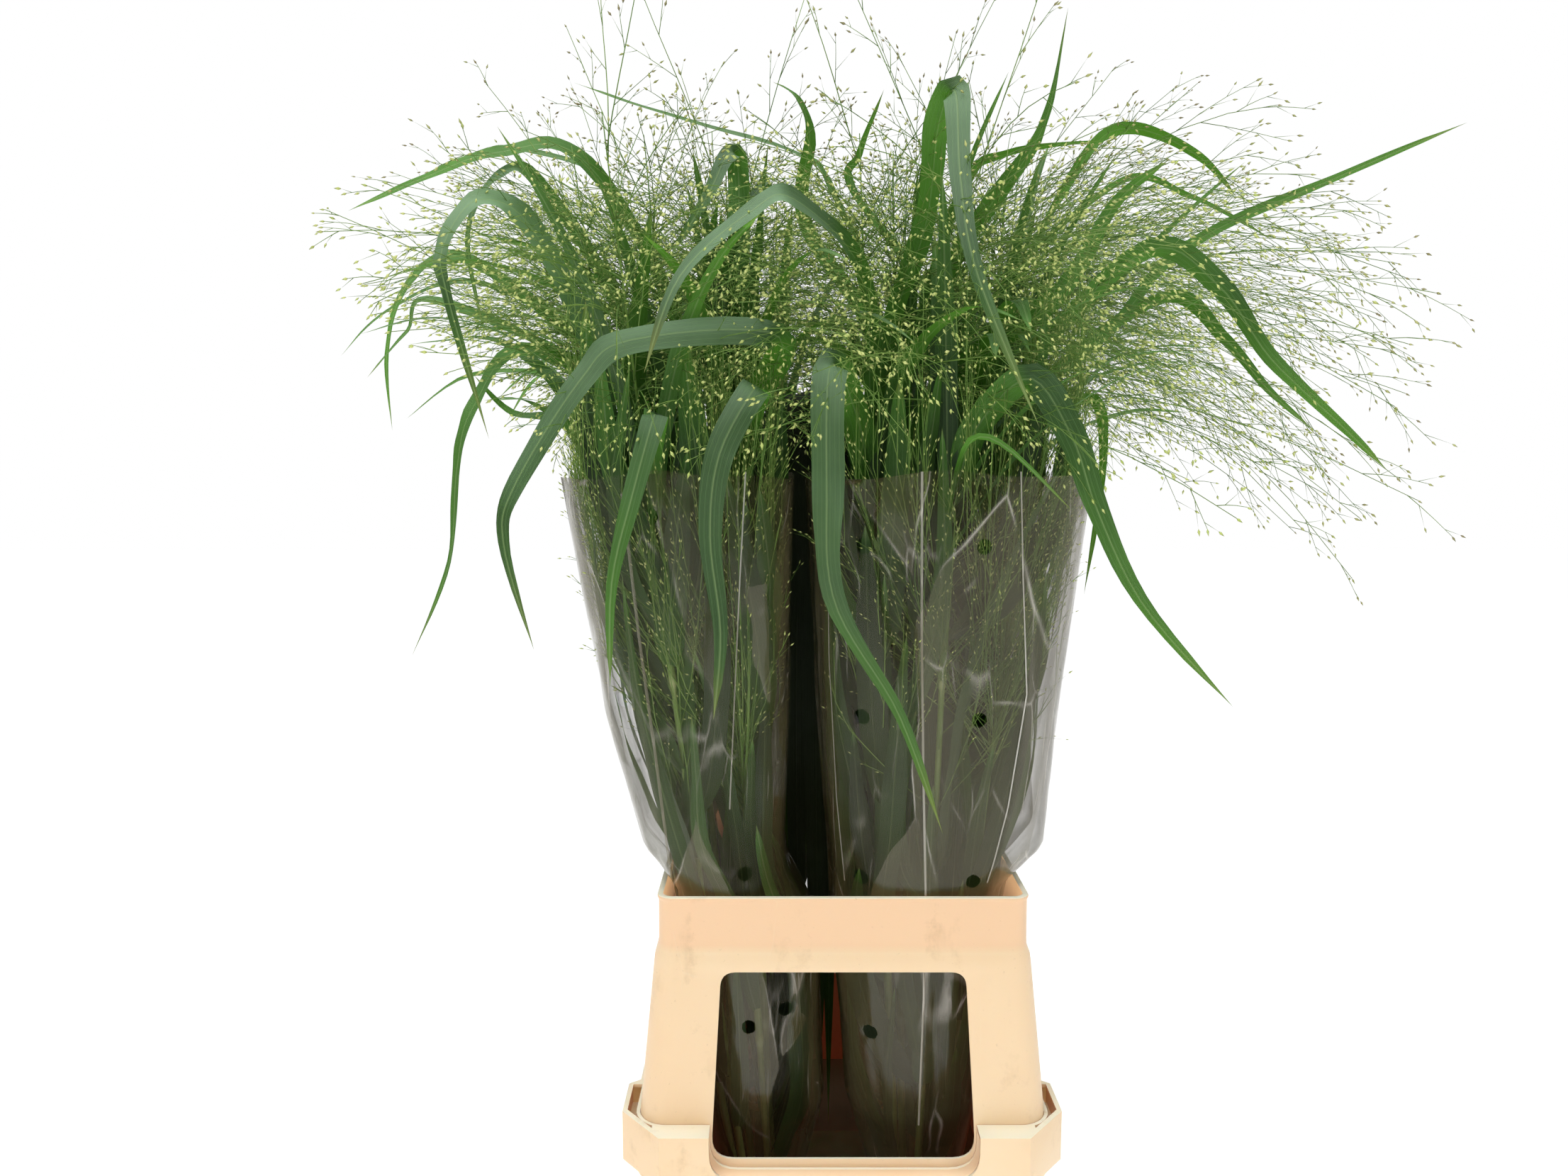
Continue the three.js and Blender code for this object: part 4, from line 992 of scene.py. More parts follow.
def add_culm(piece, stem):
    top = stem["top"]
    heights = [3.3, *np.arange(12, top, 12.0), top]
    for knot in KNOTS:
        if knot < top - SHEATH["length"]:
            heights += [knot - 4, knot - 1.5, knot, knot + 1.5, knot + 4, knot + 7,
                        knot + SHEATH["length"] - 1, knot + SHEATH["length"] + 0.5]
    z = np.array(sorted(set(heights)))
    points = np.array([stem["point"](v) for v in z])
    pale = np.clip(sum(np.exp(-((z - knot) / 5) ** 2) for knot in KNOTS), 0, 1)
    add_tubes(piece, points[None], culm_radius(top, z)[None], CULM_SIDES, pale, 1)


# The room for added leaves, how close their samples lie, and their distance from the film
CROWN_LOW = np.array([-410.0, -280.0, 100.0])
CROWN_HIGH = np.array([460.0, 365.0, 990.0])
SAMPLE_STEP = 3.0
FILM_ROOM = 3.1


class Grid:
    """A coarse map of which stem fills which cell, for the leaves added to those of the source."""

    cell = 4.0
    low = np.array([-480.0, -360.0, -10.0])

    def __init__(self, room):
        self.names = room.names
        self.cells = np.zeros((260, 200, 290), np.int16)
        self.mark(np.array(room.points), np.array(room.stem) + 1)

    def where(self, samples):
        return tuple(((samples - self.low) / self.cell).astype(int).T)

    def mark(self, samples, value):
        self.cells[self.where(samples)] = value

    def takes(self, owner, leaf):
        """Marks a leaf that meets nothing."""
        samples = leaf_samples(leaf, SAMPLE_STEP)
        if (samples < CROWN_LOW).any() or (samples > CROWN_HIGH).any() or film_distance(samples, FILM_ROOM):
            return False
        own = self.names[owner] + 1
        found = self.cells[self.where(samples)]
        root = int(len(samples) * ROOT_SHARE)
        if ((found[:root] != 0) & (found[:root] != own)).any() or found[root:].any():
            return False
        self.mark(samples, own)
        return True


# Leaves that fill the sleeves: how many in each bunch, and the shares of their rise where the route bends
PRESSED = {"front": 90, "back": 60}
PRESSED_TRIES = 60
PRESSED_BENDS = (0.12, 0.35, 0.6, 0.82, 1.0)

# Places in front of the stems that such leaves leave free: bunch, lowest and highest x, lowest and highest z
CLEAR = (
    ("front_right", 60, 80, 375, 520),
    ("front_right", 92, 108, 380, 470),
    ("front_left", -58, -42, 205, 325),
)


def sleeve_shade_tone(draw):
    """Tone of a leaf inside a sleeve: a deep green, kept dark as painted shade."""
    return 0.45 + 0.14 * draw()


def covers(name, samples):
    """Whether a leaf hides a place that is left free."""
    for bunch, left, right, low, high in CLEAR:
        x, y, z = samples.T
        if bunch == name and ((x > left) & (x < right) & (z > low) & (z < high) & (y < -92)).any():
            return True
    return False


def pressed_leaf(name, stems, number, draw):
    """A stem of the bunch, and a leaf that leaves it and climbs beside or close behind the film."""
    low, rise = between(draw, (104, 560)), between(draw, (130, 280))
    turn = ((draw() * 2) * math.pi, (draw() - 0.5) * 1.5, (draw() - 1) * math.pi,
            math.pi + (draw() - 0.5) * 1.5)[number % 4]
    drift = (draw() - 0.5) * 1.2
    depth = between(draw, (0.6, 0.93 if math.sin(turn) > -0.6 else 0.8))
    route = []
    for share in PRESSED_BENDS:
        x, y, a, b = sleeve_at(BUNCHES[name]["sleeve"], low + rise * share)
        c, s, size = on_section(turn + drift * share)
        size = depth * size
        route.append(np.array([x + a * c * size, y + b * s * size, low + rise * share]))
    near = sorted((o for o in owners_of(stems, name) if stems[o]["top"] > low + 50),
                  key=lambda o: np.linalg.norm(stems[o]["point"](low)[:2] - route[0][:2]))
    owner = near[int(draw() * 2) % len(near)]
    root = stems[owner]["point"](low)
    for k, share in enumerate(PRESSED_BENDS):
        route[k] = mix(root + [0, 0, rise * share], route[k], min(1, 0.25 + share * 1.6))
    flat = turn + math.pi / 2 if draw() < 0.45 else (draw() - 0.5) * 0.9
    return owner, {"route": np.array([root, *route]), "width": between(draw, (13, 27)),
                   "side": np.array([math.cos(flat), math.sin(flat), 0.0]),
                   "roll": ((draw() - 0.5) * 60, (draw() - 0.5) * 60), "tone": sleeve_shade_tone(draw)}


def add_pressed_leaves(grid, stems, draw):
    """The leaves that fill the sleeves."""
    for name in BUNCHES:
        for number in range(PRESSED[name.split("_")[0]]):
            for _ in range(PRESSED_TRIES):
                owner, leaf = pressed_leaf(name, stems, number, draw)
                if not covers(name, leaf_samples(leaf)) and grid.takes(owner, leaf):
                    stems[owner]["leaves"].append(leaf)
                    break


# Leaves with a route of their own, between the bunches and at the outer sides of the front sleeves: stem,
# height of the root, width, and route of the blade
HANGING = (
    ("front_right_2", 690, 40,
     [[-6, -28, 716], [-14, -8, 705], [-15, -5, 600], [-15, -5, 430], [-11, -5, 120]]),
    ("back_left_1", 690, 36, [[-40, 30, 728], [-30, 7, 715], [-30, 2, 600], [-31, 2, 430], [-27, 2, 120]]),
    ("back_right_3", 690, 30, [[12, 32, 722], [0, 8, 712], [-3, 5, 600], [-3, 5, 430], [-3, 5, 110]]),
    ("back_left_1", 680, 20, [[-58, 30, 715], [-50, 6, 700], [-46, -2, 640], [-44, -2, 520], [-42, -2, 330]]),
    ("back_right_3", 680, 26, [[24, 30, 712], [14, 6, 700], [9, 0, 640], [9, -1, 480], [9, -1, 240]]),
)
CORNERS = (
    ("front_left", 20,
     [[-114, -70, 372], [-132, -76, 410], [-148, -82, 460], [-160, -86, 520], [-168, -90, 590]]),
    ("front_left", 18,
     [[-114, -110, 374], [-130, -120, 410], [-144, -126, 455], [-154, -130, 510], [-160, -130, 570]]),
    ("front_left", 20,
     [[-116, -44, 372], [-136, -42, 420], [-154, -46, 470], [-164, -50, 530], [-172, -60, 600]]),
    ("front_left", 18,
     [[-108, -90, 380], [-122, -96, 420], [-138, -98, 470], [-150, -104, 530], [-160, -110, 610]]),
    ("front_left", 16,
     [[-116, -140, 384], [-128, -146, 430], [-140, -150, 480], [-150, -150, 530], [-158, -150, 600]]),
    ("front_left", 16,
     [[-104, -60, 390], [-118, -60, 440], [-134, -64, 490], [-150, -70, 560], [-166, -76, 640]]),
    ("front_right", 20,
     [[116, -70, 372], [128, -76, 405], [140, -82, 445], [146, -86, 500], [154, -90, 560]]),
    ("front_right", 16,
     [[114, -115, 374], [128, -120, 410], [138, -124, 455], [144, -126, 510], [148, -128, 560]]),
    ("front_right", 18,
     [[116, -44, 374], [130, -42, 420], [142, -44, 470], [150, -48, 530], [156, -50, 580]]),
    ("front_right", 16,
     [[106, -92, 384], [120, -98, 430], [132, -100, 480], [142, -104, 540], [150, -108, 610]]),
    ("front_right", 16,
     [[112, -140, 390], [124, -146, 440], [134, -150, 490], [142, -152, 540], [148, -152, 600]]),
    ("front_right", 22, [[80, -62, 640], [84, -62, 680], [86, -60, 720], [88, -58, 770], [92, -54, 830]]),
    ("back_left", 22, [[-44, 50, 715], [-38, 56, 760], [-32, 60, 810], [-28, 64, 870]]),
    ("back_right", 22, [[20, 50, 715], [10, 56, 760], [2, 60, 810], [-4, 66, 880]]),
    ("back_left", 20, [[-50, 90, 720], [-46, 100, 780], [-42, 104, 840], [-36, 108, 900]]),
)


def add_drawn_leaves(grid, stems, draw):
    """The leaves with a route of their own."""
    for owner, low, width, route in HANGING:
        root = stems[owner]["point"](low)
        first = np.array(route[0], float)
        rise = mix(root, first, 0.5) + [0, 0, 10]
        # The hanging leaves are painted wholly in shade: dark blades that fill the shaded gap between the
        # bunches
        leaf = {"route": np.array([root, rise, *route], float), "width": width,
                "side": np.array([1.0, 0, 0]), "roll": (0, 0), "tone": 0.5, "dim": 1.0}
        grid.mark(leaf_samples(leaf, SAMPLE_STEP), grid.names[owner] + 1)
        stems[owner]["leaves"].append(leaf)
    for name, width, route in CORNERS:
        first = np.array(route[0], float)
        owners = owners_of(stems, name)
        for _ in range(PRESSED_TRIES):
            low = first[2] - between(draw, (30, 150))
            owner = min((o for o in owners if stems[o]["top"] > low + 50),
                        key=lambda o: np.linalg.norm(stems[o]["point"](low)[:2] - first[:2]) + 12 * draw())
            root, away = stems[owner]["point"](low), np.array([draw() - 0.5, draw() - 0.5, 0]) * 24
            rise = mix(root, first + away, 0.6) + [0, 0, 12]
            leaf = {"route": np.array([root, rise, *(np.array(route) + away)]),
                    "width": width * (0.7 + 0.3 * draw()), "side": np.array([1.0, draw() - 0.5, 0]),
                    "roll": (0, 40 * (draw() - 0.5)), "tone": sleeve_shade_tone(draw)}
            if grid.takes(owner, leaf):
                stems[owner]["leaves"].append(leaf)
                break


# Leaves added between the stems, in a bunch's sleeve and above it: how many in each bunch, where they leave
# the stem, how long and wide they are, their slope in degrees at the foot and at the tip, how far they turn
# from the way out in radians, and their roll in degrees. Those aside lean straight to the left or right
FILL = (
    {"count": {"front": 16, "back": 18}, "low": 120, "high": 480, "length": (150, 290), "width": (13, 26),
     "start": 84, "end": (89, 68), "turn": math.pi, "roll": 60},
    {"count": {"front": 30, "back": 60}, "low": 630, "high": 705, "length": (130, 280), "width": (9, 21),
     "start": 80, "end": (-60, 60), "turn": 1.5, "roll": 50},
    {"count": {"front": 8, "back": 12}, "low": 610, "high": 700, "length": (150, 250), "width": (12, 22),
     "start": 62, "end": (-30, 25), "turn": 0.7, "roll": 40, "aside": True},
    {"count": {"front": 12, "back": 30}, "low": 560, "high": 700, "length": (150, 240), "width": (14, 25),
     "start": 86, "end": (66, 86), "turn": math.pi, "roll": 60},
)
FILL_TRIES = 40


def fill_leaf(owners, stems, kind, draw):
    """One of the stems, and a leaf on it, or none where the stem is too short."""
    owner = owners[int(draw() * len(owners))]
    stem = stems[owner]
    if stem["top"] < kind["low"] + 60:
        return owner, None
    root = stem["point"](between(draw, (kind["low"], min(kind["high"], stem["top"] - 50))))
    heading = math.atan2(0 if kind.get("aside") else root[1], root[0])
    heading += (draw() * 2 - 1) * kind["turn"]
    leaf = arch(root, heading, between(draw, kind["length"]), kind["start"],
                between(draw, kind["end"]), between(draw, kind["width"]), (draw() - 0.5) * kind["roll"])
    leaf["tone"] = 0.42 + 0.2 * draw()
    # Painted shade on the leaves added in the crown
    if kind["low"] > 500:
        leaf["dim"] = 0.2
    return owner, leaf


def add_fill_leaves(grid, stems, draw):
    """The leaves added between the stems."""
    for name in BUNCHES:
        owners = owners_of(stems, name)
        for kind in FILL:
            for _ in range(kind["count"][name.split("_")[0]]):
                for _ in range(FILL_TRIES):
                    owner, leaf = fill_leaf(owners, stems, kind, draw)
                    if leaf and grid.takes(owner, leaf):
                        stems[owner]["leaves"].append(leaf)
                        break


def dress_stems(stems, materials):
    """One piece for each stem with its leaves."""
    draw = random_source(5)
    for owner, stem in stems.items():
        piece = Piece()
        add_culm(piece, stem)
        for leaf in stem["leaves"]:
            add_blade(piece, leaf, draw)
        settle(piece.build(f"leafy_stem_{owner}", materials), "leaf", f"stem_{owner}")


# Panicles

PRIMARY_POINTS = 7
SECONDARY_POINTS = 4
HAIR = {"primary": (0.48, 0.26), "secondary": (0.32, 0.17), "pedicel": 0.23}
HAIR_FILM_ROOM = 2.5
LIMIT_LOW = np.array([-425.0, -288.0, 4.0])
LIMIT_HIGH = np.array([480.0, 372.0, 1015.0])

# Lower edge of the cloud on the left: it starts at this x and height and rises outwards
CLOUD = {"from": -200, "foot": 690, "slope": 0.75}

# Sprays that lean out of the bunch: heading and its spread in degrees, how many branches, their reach, their
# slope at the root, and how much they sag
FAN_FULLNESS = 1.6
FANS = {
    "front_right_1": [
        (-5, 50, 10, (230, 330), (5, 50), (0.2, 0.45)),
        (-10, 60, 9, (100, 180), (-10, 60), (0.2, 0.5)),
    ],
    "front_right_2": [
        (20, 60, 8, (200, 300), (10, 55), (0.2, 0.4)),
        (-80, 60, 6, (180, 250), (0, 40), (0.3, 0.5)),
    ],
    "front_right_3": [(-100, 70, 9, (170, 240), (0, 45), (0.3, 0.5))],
    "front_right_4": [
        (-60, 60, 10, (180, 260), (0, 45), (0.3, 0.5)),
        (-25, 60, 10, (120, 210), (-15, 35), (0.2, 0.45)),
    ],
    "back_right_1": [
        (0, 55, 12, (240, 330), (0, 55), (0.15, 0.45)),
        (60, 60, 6, (150, 230), (20, 70), (0.1, 0.3)),
        (5, 60, 10, (110, 190), (0, 65), (0.15, 0.4)),
    ],
    "back_right_4": [
        (-20, 45, 12, (240, 330), (-5, 45), (0.2, 0.5)),
        (-10, 60, 12, (110, 200), (-15, 55), (0.2, 0.5)),
        (-15, 50, 8, (230, 300), (-5, 30), (0.45, 0.7)),
    ],
    "back_right_2": [(100, 60, 6, (150, 220), (20, 60), (0.1, 0.3))],
    "front_left_3": [(-175, 60, 18, (110, 220), (5, 55), (0.1, 0.3))],
    "front_left_4": [(-110, 60, 9, (170, 240), (0, 45), (0.3, 0.5))],
    "front_left_1": [(-90, 70, 8, (160, 240), (0, 45), (0.3, 0.5))],
    "front_left_2": [(150, 60, 5, (180, 260), (20, 60), (0.2, 0.4))],
    "back_left_3": [
        (180, 50, 14, (130, 270), (10, 60), (0.1, 0.3)),
        (180, 60, 12, (110, 180), (0, 60), (0.1, 0.35)),
    ],
    "back_left_4": [(-170, 50, 14, (120, 230), (5, 55), (0.1, 0.3))],
    "back_left_2": [(120, 60, 6, (150, 220), (20, 60), (0.1, 0.3))],
}


def hair_line(root, heading, reach, sag, turn, steps=PRIMARY_POINTS):
    """A branch that starts along heading and bends over under its own weight."""
    share = np.linspace(0, 1, steps)
    side = unit(np.cross(heading, [0.0, 0.0, 1.0]) + 1e-6)
    sway = 0.035 * reach * np.sin(share * 3.3 + turn) * share
    line = root + heading * (share * reach)[:, None] + side * sway[:, None]
    line[:, 2] -= reach * sag * share ** 2
    return line


def breaks_out(line):
    """Whether a branch leaves the room the panicles have, or hangs below the cloud's edge on the left."""
    if (line < LIMIT_LOW).any() or (line > LIMIT_HIGH).any() or film_distance(line, HAIR_FILM_ROOM):
        return True
    x, edge = line[:, 0], CLOUD["foot"] - CLOUD["slope"] * (line[:, 0] - CLOUD["from"])
    return ((x < CLOUD["from"]) & (line[:, 2] < edge)).any()


class Spray:
    """Gathers the branches and spikelets of one panicle, and turns them into tubes at the end."""

    def __init__(self, rng):
        self.rng = rng
        self.primary, self.secondary, self.pedicel, self.heads = [], [], [], []
        self.tips, self.sizes = [], []

    def spikelet(self, tip, head, opened):
        self.tips.append(tip)
        self.heads.append(head)
        self.sizes.append(0.55 + 0.45 * opened)

    def branch(self, root, heading, reach, sag, busy, opened):
        rng = self.rng
        for _ in range(8):
            line = hair_line(root, heading, reach, sag, rng.uniform(0, 6.28))
            if not breaks_out(line):
                break
            reach *= 0.82
        else:
            return
        self.fill(line, reach, busy, opened)

    def fill(self, line, reach, busy, opened):
        """Adds a branch along a line, with its side branches."""
        rng = self.rng
        self.primary.append(line)
        self.spikelet(line[-1], line[-1] - line[-2], opened)
        count = max(3, int(busy * reach / 26))
        shares = np.linspace(0.2, 0.96, count) + rng.uniform(-0.03, 0.03, count)
        turn = rng.uniform(0, 6.28)
        for k, share in enumerate(np.clip(shares, 0.12, 0.98)):
            place = share * (PRIMARY_POINTS - 1)
            i = min(int(place), PRIMARY_POINTS - 2)
            base = mix(line[i], line[i + 1], place - i)
            forward = unit(line[i + 1] - line[i])
            side = reach * (1.12 - 0.8 * share) * rng.uniform(0.2, 0.36)
            self.side_branch(base, forward, turn + k * 2.4, side, opened)

    def sheathed(self, name, root, reach):
        """A branch that climbs inside the sleeve, close behind the film."""
        rng = self.rng
        sleeve, low = BUNCHES[name]["sleeve"], root[2]
        turn, depth = rng.uniform(-math.pi, 0), rng.uniform(0.8, 0.94)
        if name.startswith("back") or rng.uniform() < 0.35:
            turn = (math.pi if name.endswith("left") else 0) + rng.uniform(-0.7, 0.7)
        line = []
        for share in np.linspace(0, 1, PRIMARY_POINTS):
            x, y, a, b = sleeve_at(sleeve, low + reach * share)
            c, s, size = on_section(turn)
            size = depth * size
            aim = np.array([x + a * c * size, y + b * s * size, low + reach * share])
            line.append(mix(root + [0, 0, reach * share], aim, min(1, share * 1.7) ** 0.8))
        line = np.array(line)
        if not breaks_out(line):
            self.fill(line, reach, 0.9, 0.4)

    def off(self, forward, turn, open_by):
        side = unit(np.cross(forward, [0.13, 0.37, 0.91]))
        other = np.cross(forward, side)
        out = side * math.cos(turn) + other * math.sin(turn)
        return unit(forward * math.cos(open_by) + out * math.sin(open_by))

    def side_branch(self, base, forward, turn, length, opened):
        rng = self.rng
        length = min(max(length, 10), 75)
        heading = self.off(forward, turn, rng.uniform(0.35, 0.8) * opened)
        share = np.linspace(0, 1, SECONDARY_POINTS)
        line = base + heading * (share * length)[:, None]
        line += forward * (0.12 * length * share ** 2)[:, None]
        line[:, 2] -= 0.13 * length * share ** 2
        if breaks_out(line):
            return
        self.secondary.append(line)
        self.spikelet(line[-1], line[-1] - line[-2], opened)
        for k, at in enumerate(np.linspace(0.3, 0.86, 1 + int(length / 17))):
            place = at * (SECONDARY_POINTS - 1)
            i = min(int(place), SECONDARY_POINTS - 2)
            foot = mix(line[i], line[i + 1], place - i)
            away = self.off(unit(line[i + 1] - line[i]), turn + 1 + k * 2.6, rng.uniform(0.35, 0.85) * opened)
            reach = rng.uniform(7, 17)
            end = foot + away * reach - [0, 0, 0.04 * reach]
            self.pedicel.append([foot, end])
            self.spikelet(end, end - foot, opened)

    def build(self, piece):
        rng = self.rng
        for lines, kind, steps in ((self.primary, "primary", PRIMARY_POINTS),
                                   (self.secondary, "secondary", SECONDARY_POINTS)):
            add_tubes(piece, lines, np.broadcast_to(np.linspace(*HAIR[kind], steps), (len(lines), steps)))
        add_spines(piece, self.pedicel, HAIR["pedicel"])
        tips, heads = np.array(self.tips), np.array(self.heads)
        heads = unit(heads) + [0, 0, -0.15] + rng.normal(0, 0.12, tips.shape)
        far = np.clip((tips[:, 2] - 850) / 90, 0, 1) + np.clip((np.abs(tips[:, 0]) - 300) / 120, 0, 1)
        tone = np.clip(far * rng.uniform(0.5, 1.2, len(tips)), 0, 1)
        size = np.array(self.sizes)
        length = rng.uniform(3.6, 5.4, len(tips)) * size
        radius = length * size * rng.uniform(0.17, 0.21, len(tips))
        add_spikelets(piece, tips, heads, length, radius, tone, 1)


# Branches of an open panicle and of one held in its sleeve: whorls along the axis and branches in each, the
# part of the axis that they fill, their reach, their angle with the axis at its foot and tip, how far that
# sways, their sag, how many side branches they carry, and how far those open
OPEN = {"whorls": 12, "branches": 4, "axis": (0.02, 0.72), "reach": (130, 235), "spread": (80, 48),
        "sway": 14, "sag": (0.12, 0.42), "busy": 1.0, "opened": 1.0}
HELD = {"whorls": 16, "branches": 4, "axis": (0.02, 0.97), "reach": (140, 300), "spread": (12, 7),
        "sway": 5, "sag": (0.0, 0.0), "busy": 0.8, "opened": 0.45}
HELD_BELOW = 600
RAYS = 2
SHEATHED = {"front": 12, "back": 4, "held": 60}


def leaning(up, turn, opened):
    """A direction at an angle with up, turned round it."""
    side = unit(np.cross(up, [1.0, 0, 0]))
    other = np.cross(up, side)
    return up * math.cos(opened) + (side * math.cos(turn) + other * math.sin(turn)) * math.sin(opened)


def grow_whorls(spray, stem, kind):
    """The branches in whorls along the axis."""
    rng, up = spray.rng, stem["up"]
    azimuth = rng.uniform(0, 6.28)
    for whorl in range(kind["whorls"]):
        t = (whorl + 0.3) / kind["whorls"]
        root = stem["foot"] + up * stem["length"] * mix(*kind["axis"], t)
        for k in range(kind["branches"]):
            turn = azimuth + 2.4 * whorl + k * 6.28 / kind["branches"] + rng.uniform(-0.4, 0.4)
            opened = math.radians(mix(*kind["spread"], t) + rng.uniform(-1, 1) * kind["sway"])
            reach = rng.uniform(*kind["reach"]) * mix(1.05, 0.62, t)
            sag = rng.uniform(*kind["sag"])
            spray.branch(root, leaning(up, turn, opened), reach, sag, kind["busy"], kind["opened"])


def grow_rays(spray, stem):
    """Straight branches that rise out of an open panicle."""
    rng, up = spray.rng, stem["up"]
    for _ in range(RAYS):
        turn, opened = rng.uniform(0, 6.28), math.radians(rng.uniform(8, 50))
        root = stem["foot"] + up * stem["length"] * rng.uniform(0.4, 0.9)
        spray.branch(root, leaning(up, turn, opened), rng.uniform(120, 220), 0.03, 0.9, 0.9)


def grow_sheathed(spray, owner, stem, held):
    """Branches that climb inside the sleeve."""
    rng = spray.rng
    for _ in range(SHEATHED["held" if held else owner.split("_")[0]]):
        if held:
            root = stem["foot"] + stem["up"] * rng.uniform(-10, 110)
            spray.sheathed(stem["bunch"], root, rng.uniform(150, 290))
        else:
            root = stem["point"](rng.uniform(400, 560))
            spray.sheathed(stem["bunch"], root, rng.uniform(120, 250))


def grow_fans(spray, owner, stem):
    """Branches that lean out of the bunch."""
    rng = spray.rng
    for heading, spread, count, reach, slope, sag in FANS.get(owner, ()):
        for _ in range(int(count * FAN_FULLNESS)):
            way = math.radians(heading + rng.uniform(-spread, spread) / 2)
            lift = math.radians(rng.uniform(*slope))
            ahead = np.array([math.cos(way) * math.cos(lift), math.sin(way) * math.cos(lift), math.sin(lift)])
            root = stem["foot"] + stem["up"] * stem["length"] * rng.uniform(0.05, 0.55)
            spray.branch(root, ahead, rng.uniform(*reach), rng.uniform(*sag), 0.8, 0.9)


def dress_panicles(stems, materials):
    """One piece for each panicle."""
    for index, (owner, stem) in enumerate(stems.items()):
        spray = Spray(np.random.default_rng(100 + index))
        held = stem["top"] < HELD_BELOW
        grow_whorls(spray, stem, HELD if held else OPEN)
        if not held:
            grow_rays(spray, stem)
        grow_sheathed(spray, owner, stem, held)
        grow_fans(spray, owner, stem)
        piece = Piece()
        share = np.linspace(0, 1, 12)
        axis = stem["foot"] + stem["up"] * (share * stem["length"])[:, None]
        add_tubes(piece, axis[None], mix(1.2, 0.35, share)[None], 6)
        spray.build(piece)
        settle(piece.build(f"spray_{owner}", materials), "panicle", f"panicle_{owner}")


# Film sleeves

HOLE = 5.2
FILM_DEEPEST = 3.0
FILM_FOOT = 100
FILM_INSET = 0.3
FILM_ROUND = 640

# Heights between which the film lies taut against the collar's band
COLLAR_TAUT = (350, 392)

# Columns and rows of faces in the film of the front and of the back sleeves
FILM_FACES = {"front": (176, 112), "back": (112, 70)}

# Sharp folds in the front of each sleeve as lines of [x, z], and the round holes punched in it as [x, z]
FOLDS = {
    "front_left": [
        [[-146, 655], [-137, 560], [-128, 480], [-118, 377], [-110, 300], [-98, 200]],
        [[-66, 669], [-70, 600], [-74, 520], [-78, 440]],
    ],
    "front_right": [
        [[48, 669], [50, 560], [53, 470], [57, 377], [58, 300], [56, 200]],
        [[112, 669], [116, 600], [122, 520], [112, 440], [100, 385]],
        [[-12, 640], [-10, 540], [-4, 440], [2, 380]],
    ],
}

# Pale lines along some folds: the fold's number and half their width
SEAMS = {"front_left": [(0, 1.0), (1, 0.5)], "front_right": [(0, 0.8), (1, 0.5), (2, 0.4)]}
HOLES = {
    "front_left": [[-150, 515], [-68, 392], [-66, 275], [-40, 288], [-128, 640]],
    "front_right": [[12, 503], [90, 503], [13, 386], [90, 386], [21, 268], [98, 268], [12, 620], [90, 620]],
    "back_left": [[-150, 500], [-80, 500], [-150, 385], [-80, 385], [-80, 620], [-150, 620]],
    "back_right": [[60, 500], [130, 500], [60, 385], [60, 620], [130, 620]],
}


def ridged(x, y, z=0.0):
    return 1 - min(abs(noise.noise(Vector((x, y, z)))) * 2.4, 1)


def fold_distance(folds, x, z):
    nearest = 1e9
    for fold in folds:
        heights = [p[1] for p in fold][::-1]
        if heights[0] - 30 <= z <= heights[-1] + 30:
            nearest = min(nearest, abs(x - np.interp(z, heights, [p[0] for p in fold][::-1])))
    return nearest


def film_depth(name, x, s, z, front):
    """How far the film is drawn in, in millimetres, at x, at a place s round the sleeve and at a height."""
    seed = sum(map(ord, name)) % 17
    slack = 0.25 if COLLAR_TAUT[0] < z < COLLAR_TAUT[1] else 1.0
    depth = 2.2 * ridged(s / 60, z / 260, seed) ** 2 + 0.6 * ridged(s / 24 + z / 70, z / 110, seed + 5) ** 3
    depth = depth * slack * 0.8
    if front:
        d = fold_distance(FOLDS.get(name, []), x, z)
        depth = depth * min(d / 10, 1) + 2.2 * min(d / 12, 1) * max(0, 1 - max(d - 12, 0) / 26)
    return min(depth, FILM_DEEPEST)


def even_angles(count):
    """Angles that lie evenly along the sleeve's section."""
    angle = np.linspace(0, 2 * math.pi, 4001)
    c, s = np.cos(angle), np.sin(angle)
    size = (np.abs(c) ** FILM_POWER + np.abs(s) ** FILM_POWER) ** (-1 / FILM_POWER)
    line = np.stack([c * size, s * size], axis=-1)
    far = np.concatenate([[0], np.cumsum(np.linalg.norm(np.diff(line, axis=0), axis=1))])
    return np.interp(np.arange(count) / count * far[-1], far, angle)


def front_y(bunch, x, z):
    cx, cy, a, b = sleeve_at(bunch["sleeve"], z)
    u = min(abs((x - cx) / a), 0.999)
    return cy - b * (1 - u ** FILM_POWER) ** (1 / FILM_POWER)


def film_points(name, bunch, columns, rows):
    """Rings of the film from its foot to its top edge, which waves a little."""
    sleeve = bunch["sleeve"]
    fine = name.startswith("front")
    angles = even_angles(columns)
    co = np.zeros((rows + 1, columns, 3))
    for i in range(rows + 1):
        for j, angle in enumerate(angles):
            z = mix(FILM_FOOT, sleeve[-1][0], i / rows)
            if i == rows:
                z += 2.5 * math.sin(angle * 3) + 1.5 * math.sin(angle * 7 + 1) - 3
            cx, cy, a, b = sleeve_at(sleeve, z)
            c, s, size = on_section(angle)
            x, y = cx + (a - FILM_INSET) * c * size, cy + (b - FILM_INSET) * s * size
            front = (y < cy) if fine else (y > cy)
            depth = film_depth(name, x, j / columns * FILM_ROUND, z, front)
            draw_in = 1 - depth / math.hypot(x - cx, y - cy)
            co[i, j] = (cx + (x - cx) * draw_in, cy + (y - cy) * draw_in, z)
    return co


